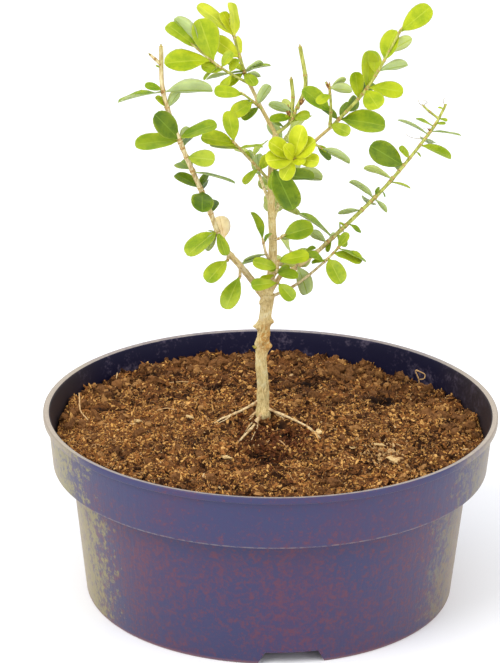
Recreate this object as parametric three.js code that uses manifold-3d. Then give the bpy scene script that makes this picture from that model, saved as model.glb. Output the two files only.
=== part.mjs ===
// A young boxwood grown as a small tree in a round plastic pot of peat.
// Millimetres, Z up, front towards -Y. The pot's axis is the Z axis and its foot stands on z = 0.
// Angles are in degrees. A turn about an upright axis counts from the front towards +X.
import * as THREE from 'three';
import { mergeVertices } from 'three/addons/utils/BufferGeometryUtils.js';
import Module from 'manifold-3d';

const wasm = await Module();
wasm.setup();

// Fit
const GAP = 0.3; // clear space between neighbouring pieces

// Pot: a turned shape with a stepped rim band, a rounded lip and a raised floor in a foot ring
const TURNED_SIDES = 48;
const POT_HEIGHT = 97;
const WALL = 2.5;
const LIP_RADIUS = 115;
const LIP_DEPTH = 3.2;
const LIP_ROUND = 0.9;
const BAND_TOP_RADIUS = 112.6;
const BAND_FOOT_RADIUS = 110.3;
const BAND_FOOT = 69;
const BODY_TOP_RADIUS = 101.2;
const BODY_FOOT_RADIUS = 94.2;
const FOOT_RING_HEIGHT = 6;
const FOOT_RING_WIDTH = 3.4;
const FOOT_CHAMFER = 0.8;

// Drainage notches through the foot ring
const NOTCH_COUNT = 3;
const NOTCH_TURN = 5.6;
const NOTCH_FOOT_WIDTH = 33;
const NOTCH_TOP_WIDTH = 26;
const NOTCH_HEIGHT = 5.4;
const NOTCH_OVERCUT = 5; // how far the cut runs past the ring on every side

// Peat: mounded to the trunk, lower at the wall
const SOIL_EDGE = 84;
const SOIL_MOUND = 90;
const SOIL_RINGS = [100, 80, 57, 36, 20, 9];
const MOUND_FLAT = 16; // level ground round the trunk
const LUMP_HEIGHT = 1.1;
const LUMP_LENGTH = 11;

// Trunk: leaning a little, flared at the ground, swollen at old scars and at the fork
const TRUNK_COURSE = [[-4, 5, 90], [-4, 5, 107], [-5, 5, 120], [-4, 5, 134], [-2, 5, 156]];
const TRUNK_RADIUS = [3.1, 2.9];
const TRUNK_SIDES = 12;
const TRUNK_RINGS = 24;
const FLARE_SWELL = 1.5;
const FLARE_LENGTH = 5;
const FORK_SWELL = 0.8;
const FORK_LENGTH = 6;
const TRUNK_KNOBS = [
  { height: 139, turn: 280, swell: 1.5, reach: 2.2 },
  { height: 129, turn: 285, swell: 1.2, reach: 2.4 },
  { height: 128, turn: 80, swell: 1.3, reach: 2.6 },
  { height: 133, turn: 0, swell: 0.6, reach: 4.5 },
];

// Boughs: each one tapering limb along its course, from where it leaves its carrier to its foliage
const BOUGHS = [
  { name: 'leader', radius: [2.4, 1.5],
    course: [[-2, 5, 153], [0, 6, 171], [0, 6, 187], [-1, 5, 205], [-1, 4, 223], [1, 4, 240]] },
  { name: 'bough_left', radius: [1.85, 1.4],
    course: [[-3, 5, 153], [-10, 2, 164], [-16, -2, 173], [-22, -5, 181], [-26, -8, 189]] },
  { name: 'bough_right', radius: [1.3, 1.1],
    course: [[-1, 6, 156], [5, 9, 165], [13, 12, 168], [24, 16, 176]] },
  { name: 'bough_upper_left', radius: [1.15, 0.9],
    course: [[1, 4, 239], [-6, 10, 250], [-10, 15, 257], [-14, 18, 264]] },
  { name: 'bough_upper_right', radius: [0.95, 0.85],
    course: [[0, 5, 213], [10, 1, 225], [20, -4, 238], [29, -9, 248]] },
];
const BOUGH_SIDES = 7;
const BOUGH_STEP = 5; // length between rings

// Surface roots: they leave the flare above the ground and run down onto the peat
const ROOTS = [
  { name: 'root_left', turn: 291, reach: 28, rise: 8.5, radius: [0.9, 0.4], bow: -1 },
  { name: 'root_front_left', turn: 312, reach: 11, rise: 4.5, radius: [0.7, 0.35], bow: -1 },
  { name: 'root_front', turn: 341, reach: 34, rise: 1.5, radius: [0.9, 0.4], bow: 2 },
  { name: 'root_right', turn: 49, reach: 39, rise: 4, radius: [0.9, 0.4], bow: 5 },
];
const ROOT_SIDES = 5;
const ROOT_POINTS = 8;
const ROOT_RINGS = 9;
const ROOT_FALL = 2.2; // how quickly a root comes down to the peat
const ROOT_CLEAR = 0.7;

// Leaves: a stalked oval blade, raised at the rims and drooping at the tip. Each station is a share of the length
// with the half width there, as a share of the length too.
const LEAF_STATIONS = [[0, 0.03], [0.22, 0.16], [0.55, 0.28], [0.85, 0.21]];
const LEAF_CUP = 0.2;
const LEAF_SAG = 0.12;
const LEAF_HALF_THICKNESS = 0.22;
const LEAF_MARGIN = 0.35; // clear space that a leaf needs round it
const LEAF_SINK = 1; // how far below the end of its stem a leaf is rooted at least

// Growth: opposite pairs of leaves, each pair turned from the one below, with some straying
const TURN_STRAY = 24;
const OPEN_STRAY = 20;
const SIZE_STRAY = 0.22;
const AGE_STRAY = 0.28;
const TWIST_STRAY = 28;
const LIGHT = new THREE.Vector3(-0.3, -0.8, 0.55).normalize(); // leaves turn their faces this way
const CROWDED_TURNS = [0, 25, -25, 50, -50]; // turns about the stem that a crowded leaf tries
const CROWDED_TILTS = [0, 12, -12, 24, -24]; // tilts towards the viewer that a crowded leaf tries
const VIEW_RISE = 20; // the front view looks down by this
const STEM_SIDES = 4;
const STEM_STEP = 8; // length between rings

// A flush is one stretch of growth on a stem: where its nodes sit (shares of the stem), its pairs of leaves, the
// turn of the first pair and from pair to pair, the opening from the stem, the leaf length, the age (0 is fresh,
// 1 is dark), how far the leaves face the light, the chance that a leaf is kept, and the seed. Values in brackets
// run from the flush's foot to its tip.
const FLUSH = { spin: 90, keep: 0.95, sides: 2 };

// A seen leaf is one that shows from the front, as it lies there: its share of the stem, its clock angle (0 is up,
// 90 is right), its tilt towards the viewer, its length, the share of its face that shows (below 0 it shows its
// underside) and its age.

// Masses of foliage: one stem each, that starts inside its bough and is cut clear of it, with its seen leaves and
// its flushes
const MASSES = [
  { name: 'foliage_left', thick: [1.2, 0.95],
    course: [[-26, -8, 189], [-33, -13, 210], [-45, -20, 241], [-53, -25, 267], [-54, -26, 290]],
    twigs: [{ course: [[-54, -26, 281], [-56, -26, 283], [-59, -27, 286]], thick: [0.7, 0.6] }],
    seen: [
      [0.04, 235, 20, 19.5, 0.72, 0.42], [0.04, 212, 5, 11, -0.8, 0.5], [0.04, 157, 20, 13, 0.8, 0.45],
      [0.26, 174, 66, 21, 0.97, 0.7], [0.28, 304, -15, 15, 0.75, 0.72], [0.28, 20, -20, 9, 0.75, 0.72],
      [0.37, 98, 0, 21, 0.14, 0.5], [0.45, 94, 25, 14.5, 0.97, 0.5], [0.54, 268, 10, 21.5, 0.75, 0.6],
      [0.55, 64, 10, 19.5, 0.65, 0.7], [0.53, 23, -10, 8.5, -0.7, 0.5], [0.545, 316, 48, 21, 0.97, 0.72],
      [0.71, 31, -10, 10, -0.7, 0.5], [0.71, 317, 20, 8, 0.6, 0.3], [0.79, 263, 0, 22, 0.22, 0.5],
      [0.79, 82, 0, 23.5, -0.4, 0.5], [0.8, 287, 20, 9, 0.8, 0.5],
    ],
    flushes: [
      { at: [0.14, 0.5], pairs: 4, sides: 1, spin: 0, roll: 90, open: [75, 70], leaf: [14, 13], age: [0.6, 0.5],
        facing: 0.3, seed: 5 },
    ] },
  { name: 'foliage_left_low', thick: [0.8, 0.6],
    course: [[-16, -2, 173], [-16, -5, 171], [-16, -8, 169]],
    seen: [[0.97, 205, 20, 18.5, 0.92, 0.42]] },
  { name: 'foliage_left_under', thick: [0.8, 0.6],
    course: [[-22, -5, 181], [-22, -9, 180], [-22, -12, 179]],
    seen: [[0.95, 225, 25, 16, 0.85, 0.45]] },
  { name: 'foliage_left_dry', thick: [0.6, 0.5], dry: true,
    course: [[-23, -6, 183], [-24, -2, 184], [-24, 2, 186]],
    seen: [[0.95, 350, 0, 12, 0.95, 0.2]] },
  { name: 'foliage_mid_left', thick: [0.75, 0.55],
    course: [[-1, 5, 214], [-9, -2, 225], [-20, -9, 239]],
    seen: [
      [1, 350, 10, 15.5, 0.9, 0.15], [0.92, 284, 15, 17.5, 0.8, 0.15], [0.81, 283, 5, 15, 0.5, 0.2],
      [0.84, 80, 0, 11.5, 0.3, 0.3], [0.47, 326, 15, 7.5, 0.8, 0.4], [0.32, 31, 15, 9, 0.95, 0.22],
      [0.36, 227, 10, 10.5, 0.75, 0.4], [0.51, 344, -10, 6.5, -0.6, 0.5],
    ] },
  { name: 'foliage_top_left', thick: [0.85, 0.55],
    course: [[-14, 18, 264], [-18, 23, 276], [-22, 28, 290]],
    seen: [
      [0.72, 315, 10, 23.5, 0.55, 0.05], [0.68, 0, 0, 18, 0.5, 0.05], [0.34, 306, 10, 16, 1, 0.08],
      [0.38, 359, -10, 10.5, 0.5, 0.1], [0.08, 55, 10, 10.5, -0.6, 0.5], [0.1, 71, 0, 13.5, 0.25, 0.5],
      [0.08, 140, 30, 11, 0.9, 0.4], [0.1, 264, 10, 19, 0.22, 0.5], [0.1, 304, 20, 11, 0.75, 0.25],
      [0.08, 238, 20, 11, 0.8, 0.25],
    ] },
  { name: 'foliage_top_left_side', thick: [0.7, 0.5],
    course: [[-12, 16, 261], [-26, 12, 270], [-40, 10, 282]],
    seen: [
      [0.9, 312, 0, 19.5, 0.8, 0.45], [0.86, 326, -10, 20.5, -0.65, 0.5], [0.62, 343, 10, 22, 0.95, 0.22],
      [0.66, 268, 15, 23, 0.88, 0.2], [0.48, 30, 10, 9.5, 0.9, 0.3], [0.53, 230, 10, 10, 0.4, 0.3],
    ] },
  { name: 'foliage_top_left_base', thick: [0.7, 0.5],
    course: [[-6, 10, 250], [-11, 4, 256], [-16, -1, 261]],
    seen: [
      [0.14, 236, 15, 10.5, 0.7, 0.6], [0.9, 278, 15, 14.5, 0.9, 0.28], [0.46, 236, 35, 14.5, 1, 0.22],
      [0.25, 27, 0, 11.5, -0.75, 0.5], [0.39, 252, -10, 13.5, 0.6, 0.6],
    ] },
  { name: 'foliage_centre', thick: [0.9, 0.7],
    course: [[1, 4, 239], [8, 2, 246], [11, 0, 254]],
    twigs: [
      { course: [[8, 2, 246], [9, 1, 258], [8, 0, 268]], thick: [0.9, 0.8] },
      { course: [[11, 0, 253], [15, -2, 266], [12, -4, 285]], thick: [0.9, 0.9] },
    ],
    seen: [
      [0.64, 290, 20, 4, 0.9, 0.12], [0.64, 74, 20, 9, 0.9, 0.12], [0.8, 295, 0, 13.5, -0.6, 0.5],
      [0.68, 269, 10, 11.5, 0.7, 0.6],
    ] },
  { name: 'foliage_top_right', thick: [0.8, 0.55],
    course: [[29, -9, 248], [43, -15, 266], [52, -20, 283], [59, -25, 299]],
    seen: [
      [0.97, 50, 5, 19, 1, 0.18], [0.69, 18, 25, 16, 0.85, 0.3], [0.78, 55, -15, 13, -0.85, 0.35],
      [0.59, 72, 0, 14.5, -0.45, 0.5], [0.41, 6, 10, 18, 0.8, 0.25], [0.43, 95, 10, 17, 0.9, 0.2],
      [0.4, 150, 52, 16, 1, 0.25], [0.3, 355, 15, 13, 0.85, 0.35], [0.06, 94, 5, 22.5, 0.78, 0.6],
      [0.05, 318, 10, 11, 0.8, 0.85], [0.07, 22, 0, 9, 0.7, 0.7],
    ],
    flushes: [
      { at: [0.15, 0.55], pairs: 3, sides: 1, spin: 0, roll: 90, open: [60, 55], leaf: [14, 14], age: [0.5, 0.3],
        facing: 0.4, seed: 5 },
    ] },
  { name: 'foliage_right_side', thick: [0.8, 0.5],
    course: [[27, -8, 246], [27, -15, 259], [26, -17, 269]],
    seen: [
      [0.92, 48, 0, 9.5, -0.65, 0.4], [0.96, 92, 5, 11, -0.65, 0.4], [0.83, 236, 35, 9, 0.97, 0.3],
      [0.92, 336, 0, 4.5, 0.5, 0.4], [0.42, 311, 10, 17.5, 0.92, 0.48], [0.1, 118, 30, 13, 0.97, 0.42],
    ] },
  { name: 'foliage_right_under', thick: [0.7, 0.5],
    course: [[20, -3, 236], [21, -8, 237], [23, -13, 237]],
    seen: [
      [1, 111, 5, 16, -0.45, 0.6], [0.3, 132, 10, 10, 0.7, 0.85], [0.2, 118, 10, 6.5, 0.7, 0.22],
      [0.2, 11, 0, 12.5, 0.5, 0.3],
    ] },
  { name: 'foliage_rosette', thick: [0.9, 0.7],
    course: [[-1, 4, 220], [5, -12, 229], [10, -24, 235]],
    seen: [
      [0.98, 11, 35, 18, 0.9, 0.05], [0.98, 304, 35, 16.5, 0.95, 0.05], [0.98, 265, 40, 16.5, 0.95, 0.03],
      [0.98, 208, 35, 13.5, 1, 0.03], [0.98, 96, 35, 13.5, 0.95, 0.03], [0.98, 46, 40, 15.5, 0.9, 0.06],
      [1, 322, 60, 13, 0.9, 0.02], [1, 119, 60, 9, 0.9, 0.02],
    ] },
  { name: 'foliage_front', thick: [0.8, 0.6],
    course: [[-1, 5, 210], [-1, -3, 219], [0, -9, 226]],
    seen: [[0.98, 152, 20, 23, 0.95, 0.85], [0.6, 87, 0, 21, 0.5, 0.7], [0.87, 189, 0, 9.5, 0.5, 0.6]] },
  { name: 'foliage_centre_right', thick: [0.7, 0.5],
    course: [[0, 6, 184], [3, 2, 186], [6, -1, 189]],
    seen: [[0.75, 70, 15, 16.5, 0.92, 0.5], [0.5, 81, 0, 7.5, -0.6, 0.5]] },
  { name: 'foliage_centre_left', thick: [0.7, 0.5],
    course: [[0, 6, 172], [-3, 1, 178], [-5, -2, 187]],
    seen: [
      [0.9, 343, 0, 16, 0.45, 0.5], [0.84, 28, -20, 7, 0.5, 0.5], [0.47, 259, 0, 12, -0.25, 0.5],
      [0.25, 264, 0, 14.5, 0.18, 0.5], [0.25, 168, 30, 10, 0.85, 0.2],
    ] },
  { name: 'foliage_crotch', thick: [0.8, 0.6],
    course: [[-1, 4, 163], [2, -5, 171], [3, -8, 178]],
    seen: [
      [0.95, 70, 5, 10.5, 0.8, 0.65], [1, 74, 10, 15.5, 0.8, 0.3], [0.75, 288, 20, 13, 0.85, 0.42],
      [0.6, 100, 30, 12, 0.7, 0.6],
    ] },
  { name: 'foliage_crotch_low', thick: [0.7, 0.5],
    course: [[0, 5, 161], [2, -3, 164], [3, -7, 166]],
    seen: [[1, 266, 25, 14, 0.9, 0.45], [1, 136, 25, 12, 0.98, 0.45]] },
  { name: 'foliage_crotch_right', thick: [0.7, 0.5],
    course: [[12, 12, 167], [13, 5, 173], [14, 2, 178]],
    seen: [
      [0.35, 157, 10, 16, -0.85, 0.5], [0.71, 67, 0, 10.5, 0.6, 0.6], [0.83, 51, 0, 9.5, 0.5, 0.6],
    ] },
  { name: 'foliage_right', thick: [1.05, 0.65],
    course: [[24, 16, 176], [41, 22, 191], [59, 29, 208], [79, 37, 232], [86, 40, 244]],
    twigs: [{ course: [[83, 39, 238], [78, 38, 242], [75, 37, 245]], thick: [0.6, 0.5] }],
    seen: [
      [0.09, 310, 0, 21, 0.2, 0.5], [0.05, 307, 0, 10, -0.75, 0.5], [0.06, 30, 0, 5.5, -0.6, 0.5],
      [0.18, 303, 0, 3.5, 0.6, 0.45], [0.3, 268, 0, 12, -0.42, 0.5], [0.39, 309, 0, 15, -0.28, 0.5],
      [0.4, 14, 0, 5.5, 0.5, 0.5], [0.39, 132, 0, 9.5, -0.5, 0.5], [0.53, 297, 0, 15.5, -0.35, 0.35],
      [0.51, 101, 0, 11, 0.27, 0.45], [0.62, 302, 10, 19.5, 0.97, 0.8], [0.67, 322, 20, 8, 0.8, 0.4],
      [0.76, 107, 0, 17, 0.58, 0.45], [0.83, 301, 0, 17, 0.12, 0.5], [0.85, 91, 0, 15.5, 0.16, 0.5],
      [0.88, 299, 0, 10, 0.4, 0.45], [0.9, 86, 20, 5, 0.6, 0.4],
    ],
    flushes: [
      { at: [0.15, 0.8], pairs: 4, sides: 1, spin: 0, roll: 90, open: [70, 65], leaf: [14, 13], age: [0.6, 0.5],
        facing: 0.3, seed: 5 },
    ] },
  { name: 'foliage_right_low', thick: [0.8, 0.5],
    course: [[-1, 5, 154], [12, 2, 162], [25, 0, 174], [33, -1, 183]],
    seen: [
      [0.9, 101, 10, 14.8, 0.62, 0.42], [0.82, 152, 30, 15.5, 0.97, 0.42], [0.76, 301, 10, 9.5, 0.7, 0.62],
      [0.79, 262, 10, 7.5, 0.6, 0.6], [0.97, 32, 15, 9.5, 0.9, 0.45], [1, 109, 0, 15.5, 0.26, 0.5],
    ] },
  { name: 'foliage_back', thick: [0.9, 0.6],
    course: [[0, 6, 193], [5, 30, 203], [9, 50, 215]],
    flushes: [
      { at: [0.3, 1.0], pairs: 4, roll: 0, open: [75, 45], leaf: [15, 16], age: [0.5, 0.3], facing: 0.4, seed: 30 },
    ] },
  { name: 'foliage_back_low', thick: [0.9, 0.6],
    course: [[0, 6, 171], [6, 25, 166], [10, 42, 166]],
    flushes: [
      { at: [0.4, 1.0], pairs: 3, roll: 45, open: [75, 50], leaf: [15, 15], age: [0.5, 0.5], facing: 0.4, seed: 37 },
    ] },
  { name: 'foliage_back_left', thick: [0.9, 0.6],
    course: [[-1, 5, 203], [-5, 30, 205], [-10, 50, 215]],
    flushes: [
      { at: [0.35, 1.0], pairs: 3, roll: 20, open: [75, 45], leaf: [12, 14], age: [0.5, 0.4], facing: 0.4, seed: 25 },
    ] },
  { name: 'foliage_back_top', thick: [0.9, 0.6],
    course: [[1, 4, 233], [7, 30, 231], [11, 50, 235]],
    flushes: [
      { at: [0.35, 1.0], pairs: 3, roll: 20, open: [75, 45], leaf: [12, 14], age: [0.4, 0.2], facing: 0.4, seed: 40 },
    ] },
];

// Colours and finishes
const POT_COLOUR = 0x45455f;
const SOIL_COLOUR = 0x5b3a1e;
const BARK_COLOUR = 0xbfa873;
const ROOT_COLOUR = 0xcdb98c;
const DRY_COLOUR = 0xd9c29c;
const FRESH_COLOUR = 0xbccb28;
const DARK_COLOUR = 0x476e19;
const MATT = 0.85;
const SATIN = 0.45;

const X_AXIS = new THREE.Vector3(1, 0, 0);
const Y_AXIS = new THREE.Vector3(0, 1, 0);
const RADIANS = Math.PI / 180;
const TOWARDS = new THREE.Vector3(0, -Math.cos(VIEW_RISE * RADIANS), Math.sin(VIEW_RISE * RADIANS)); // to the viewer
const UPWARDS = new THREE.Vector3(0, Math.sin(VIEW_RISE * RADIANS), Math.cos(VIEW_RISE * RADIANS)); // up as seen

const between = ([from, to], share) => from + (to - from) * share;
const vector = ([x, y, z]) => new THREE.Vector3(x, y, z);

// Solids

function solidOf(positions, triangles) {
  const mesh = new wasm.Mesh({
    numProp: 3,
    vertProperties: new Float32Array(positions),
    triVerts: new Uint32Array(triangles),
  });
  return new wasm.Manifold(mesh);
}

function solidFrom(geometry) {
  const bare = new THREE.BufferGeometry();
  bare.setAttribute('position', geometry.getAttribute('position'));
  bare.setIndex(geometry.getIndex());
  const welded = mergeVertices(bare, 1e-4);
  const index = welded.getIndex().array;
  const triangles = [];
  for (let i = 0; i < index.length; i += 3) {
    const [a, b, c] = index.slice(i, i + 3);
    if (a !== b && b !== c && c !== a) triangles.push(a, b, c);
  }
  return solidOf(welded.getAttribute('position').array, triangles);
}

function largestBody(solid) {
  const bodies = solid.decompose();
  return bodies.reduce((best, body) => (body.volume() > best.volume() ? body : best));
}

// A closed skin over rings of equal numbers of points, with a point at each end
function skin(rings, firstPoint, lastPoint) {
  const sides = rings[0].length;
  const positions = [...rings.flat(), firstPoint, lastPoint].flatMap((point) => point.toArray());
  const first = rings.length * sides;
  const last = first + 1;
  const triangles = [];
  for (let side = 0; side < sides; side += 1) {
    const next = (side + 1) % sides;
    triangles.push(first, next, side);
    for (let ring = 0; ring + 1 < rings.length; ring += 1) {
      const low = ring * sides;
      const high = low + sides;
      triangles.push(low + side, low + next, high + next, low + side, high + next, high + side);
    }
    const top = (rings.length - 1) * sides;
    triangles.push(last, top + side, top + next);
  }
  return solidOf(positions, triangles);
}

function courseCurve(points) {
  return new THREE.CatmullRomCurve3(points.map(vector), false, 'catmullrom', 0.5);
}

// A limb along a curve. radiusAt takes the share of the length and the angle round the limb.
// A swollen limb is larger all round, to cut a clear seat for it.
function limb(curve, radiusAt, sides, rings, swell = 0) {
  const { tangents, normals, binormals } = curve.computeFrenetFrames(rings, false);
  const centreAt = (ring) => {
    const end = ring === 0 ? -swell : ring === rings ? swell : 0;
    return curve.getPointAt(ring / rings).addScaledVector(tangents[ring], end);
  };
  const ringPoints = Array.from({ length: rings + 1 }, (_, ring) => {
    const centre = centreAt(ring);
    return Array.from({ length: sides }, (unused, side) => {
      const angle = (2 * Math.PI * side) / sides;
      const radius = radiusAt(ring / rings, angle) + swell;
      return centre.clone()
        .addScaledVector(normals[ring], radius * Math.cos(angle))
        .addScaledVector(binormals[ring], radius * Math.sin(angle));
    });
  });
  return skin(ringPoints, centreAt(0), centreAt(rings));
}

const tapering = (radius) => (share) => between(radius, share);
const ringsFor = (curve, step) => Math.max(3, Math.round(curve.getLength() / step));

// Pot

const FLOOR = FOOT_RING_HEIGHT + WALL;
const LEDGE = BAND_FOOT + WALL;
const LIP_FOOT = POT_HEIGHT - LIP_DEPTH;

function turnedGeometry(outline) {
  const profile = outline.map(([radius, height]) => new THREE.Vector2(radius, height));
  return new THREE.LatheGeometry(profile, TURNED_SIDES).rotateX(Math.PI / 2);
}

function notchCutter(turn) {
  const slope = (NOTCH_FOOT_WIDTH - NOTCH_TOP_WIDTH) / 2 / NOTCH_HEIGHT;
  const footHalf = NOTCH_FOOT_WIDTH / 2 + slope * NOTCH_OVERCUT;
  const topHalf = NOTCH_TOP_WIDTH / 2;
  const outline = new THREE.Shape([
    new THREE.Vector2(-footHalf, -NOTCH_OVERCUT),
    new THREE.Vector2(footHalf, -NOTCH_OVERCUT),
    new THREE.Vector2(topHalf, NOTCH_HEIGHT),
    new THREE.Vector2(-topHalf, NOTCH_HEIGHT),
  ]);
  const inside = BODY_FOOT_RADIUS - FOOT_RING_WIDTH - NOTCH_OVERCUT;
  const depth = BODY_FOOT_RADIUS + NOTCH_OVERCUT - inside;
  const bar = new THREE.ExtrudeGeometry(outline, { depth, bevelEnabled: false });
  return solidFrom(bar.translate(0, 0, inside).rotateX(Math.PI / 2).rotateZ(turn * RADIANS));
}

function potSolid() {
  const ringInside = BODY_FOOT_RADIUS - FOOT_RING_WIDTH;
  let pot = solidFrom(turnedGeometry([
    [0, FOOT_RING_HEIGHT],
    [ringInside, FOOT_RING_HEIGHT],
    [ringInside, 0],
    [BODY_FOOT_RADIUS - FOOT_CHAMFER, 0],
    [BODY_FOOT_RADIUS, FOOT_CHAMFER],
    [BODY_TOP_RADIUS, BAND_FOOT],
    [BAND_FOOT_RADIUS, BAND_FOOT],
    [BAND_TOP_RADIUS, LIP_FOOT],
    [LIP_RADIUS - LIP_ROUND, LIP_FOOT],
    [LIP_RADIUS, LIP_FOOT + LIP_ROUND],
    [LIP_RADIUS, POT_HEIGHT - LIP_ROUND],
    [LIP_RADIUS - LIP_ROUND, POT_HEIGHT],
    [BAND_TOP_RADIUS, POT_HEIGHT],
    [BAND_TOP_RADIUS - WALL, LIP_FOOT],
    [BAND_FOOT_RADIUS - WALL, LEDGE],
    [BODY_TOP_RADIUS - WALL, LEDGE],
    [BODY_FOOT_RADIUS - WALL, FLOOR],
    [0, FLOOR],
  ]));
  for (let notch = 0; notch < NOTCH_COUNT; notch += 1) {
    pot = pot.subtract(notchCutter(NOTCH_TURN + (360 / NOTCH_COUNT) * notch));
  }
  return pot;
}

// Peat

function soilHeight(x, y) {
  const [trunkX, trunkY] = TRUNK_COURSE[0];
  const fall = THREE.MathUtils.smoothstep(Math.hypot(x - trunkX, y - trunkY), MOUND_FLAT, LIP_RADIUS);
  const ripple = Math.sin(x / LUMP_LENGTH + 1) * Math.cos(y / LUMP_LENGTH);
  const swell = Math.sin((x - y) / LUMP_LENGTH / 2);
  return between([SOIL_MOUND - GAP, SOIL_EDGE], fall) + LUMP_HEIGHT * (ripple + swell) * fall;
}

function soilSolid() {
  const lowestEdge = SOIL_EDGE - 2 * LUMP_HEIGHT;
  const bandShare = (lowestEdge - LEDGE) / (LIP_FOOT - LEDGE);
  const edgeRadius = between([BAND_FOOT_RADIUS, BAND_TOP_RADIUS], bandShare) - WALL - GAP;
  const geometry = turnedGeometry([
    [0, FLOOR + GAP],
    [BODY_FOOT_RADIUS - WALL - GAP, FLOOR + GAP],
    [BODY_TOP_RADIUS - WALL - GAP, LEDGE + GAP],
    [BAND_FOOT_RADIUS - WALL - GAP, LEDGE + GAP],
    ...[edgeRadius, ...SOIL_RINGS, 0].map((radius) => [radius, SOIL_EDGE]),
  ]);
  const position = geometry.getAttribute('position');
  for (let i = 0; i < position.count; i += 1) {
    if (position.getZ(i) > lowestEdge) {
      position.setZ(i, soilHeight(position.getX(i), position.getY(i)));
    }
  }
  return solidFrom(geometry);
}

// Trunk and surface roots

function trunkRadius(curve) {
  return (share, angle) => {
    const height = curve.getPointAt(share).z;
    const flare = FLARE_SWELL * Math.exp((TRUNK_COURSE[0][2] - height) / FLARE_LENGTH);
    const fork = FORK_SWELL * Math.exp((height - TRUNK_COURSE.at(-1)[2]) / FORK_LENGTH);
    let radius = between(TRUNK_RADIUS, share) + flare + fork;
    for (const knob of TRUNK_KNOBS) {
      const round = Math.max(Math.cos(angle - knob.turn * RADIANS), 0);
      const rise = (height - knob.height) / knob.reach;
      radius += knob.swell * Math.exp(-rise * rise) * round ** 4;
    }
    return radius;
  };
}

function rootCourse(root) {
  const [footX, footY] = TRUNK_COURSE[0];
  const ahead = [Math.sin(root.turn * RADIANS), -Math.cos(root.turn * RADIANS)];
  return Array.from({ length: ROOT_POINTS }, (_, step) => {
    const share = step / (ROOT_POINTS - 1);
    const out = root.reach * share;
    const aside = root.bow * Math.sin(Math.PI * share);
    const x = footX + out * ahead[0] - aside * ahead[1];
    const y = footY + out * ahead[1] + aside * ahead[0];
    const rest = between(root.radius, share) + ROOT_CLEAR;
    return [x, y, soilHeight(x, y) + rest + root.rise * (1 - share) ** ROOT_FALL];
  });
}

// Growth

function seededDraw(seed) {
  let state = seed >>> 0;
  return () => {
    state = (state + 0x6d2b79f5) >>> 0;
    let mixed = Math.imul(state ^ (state >>> 15), state | 1);
    mixed ^= mixed + Math.imul(mixed ^ (mixed >>> 7), mixed | 61);
    return ((mixed ^ (mixed >>> 14)) >>> 0) / 2 ** 32;
  };
}

// The two directions square to a stem: sideways as seen from the front, and the one square to that
function stemSides(along) {
  const sideways = new THREE.Vector3().crossVectors(Y_AXIS, along);
  if (sideways.length() < 0.35) {
    sideways.copy(X_AXIS).addScaledVector(along, -X_AXIS.dot(along));
  }
  sideways.normalize();
  return [sideways, new THREE.Vector3().crossVectors(along, sideways)];
}

// The direction that leaves a stem at an opening angle, turned about it
function leaving(along, turn, open) {
  const [sideways, onwards] = stemSides(along);
  const away = sideways.multiplyScalar(Math.cos(turn * RADIANS));
  away.addScaledVector(onwards, Math.sin(turn * RADIANS));
  const way = along.clone().multiplyScalar(Math.cos(open * RADIANS));
  return way.addScaledVector(away, Math.sin(open * RADIANS)).normalize();
}

const squareTo = (arrow, way) => arrow.clone().addScaledVector(way, -arrow.dot(way)).normalize();

// How a leaf lies: the direction along it and the one out of its face

function grownPose(along, turn, open, facing, twist) {
  const way = leaving(along, turn, open);
  const face = squareTo(squareTo(along, way).addScaledVector(LIGHT, facing), way);
  return { way, face: face.applyAxisAngle(way, twist * RADIANS) };
}

function seenPose(clock, tilt, show) {
  const way = X_AXIS.clone().multiplyScalar(Math.sin(clock * RADIANS));
  way.addScaledVector(UPWARDS, Math.cos(clock * RADIANS));
  way.multiplyScalar(Math.cos(tilt * RADIANS)).addScaledVector(TOWARDS, Math.sin(tilt * RADIANS));
  const front = squareTo(TOWARDS, way);
  const edge = new THREE.Vector3().crossVectors(way, front);
  if (edge.z + edge.x / 10 < 0) edge.negate(); // the upper face looks up
  return { way, face: front.multiplyScalar(show).addScaledVector(edge, Math.sqrt(1 - show * show)) };
}

function leafSolid({ root, size }, { way, face }, margin = 0) {
  const across = new THREE.Vector3().crossVectors(face, way);
  const place = (length, width, height) => root.clone()
    .addScaledVector(way, length)
    .addScaledVector(across, width)
    .addScaledVector(face, height);
  const droop = (share) => -LEAF_SAG * share * share * size;
  const thick = LEAF_HALF_THICKNESS + margin;
  const rings = LEAF_STATIONS.map(([share, halfWidth]) => {
    const length = share * size;
    const width = halfWidth * size + margin;
    const rim = droop(share) + LEAF_CUP * halfWidth * size;
    return [
      place(length, width, rim),
      place(length, 0, droop(share) + thick),
      place(length, -width, rim),
      place(length, 0, droop(share) - thick),
    ];
  });
  return skin(rings, place(0, 0, 0), place(size + margin, 0, droop(1)));
}

// A leaf in the first of its poses where it fits, or nothing
function fittingLeaf(leaf, poses, fits) {
  const found = poses.find((pose) => fits(leafSolid(leaf, pose, LEAF_MARGIN)));
  return found ? [{ solid: leafSolid(leaf, found), age: leaf.age }] : [];
}

// Every leaf is rooted a little below the end of its stem
const rooted = (at, curve) => Math.min(at, 1 - LEAF_SINK / curve.getLength());

function growSeen([at, clock, tilt, size, show, age], curve, fits) {
  const root = curve.getPointAt(rooted(at, curve));
  const poses = CROWDED_TILTS.map((extra) => seenPose(clock, tilt + extra, show));
  return fittingLeaf({ root, size, age }, poses, fits);
}

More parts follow.
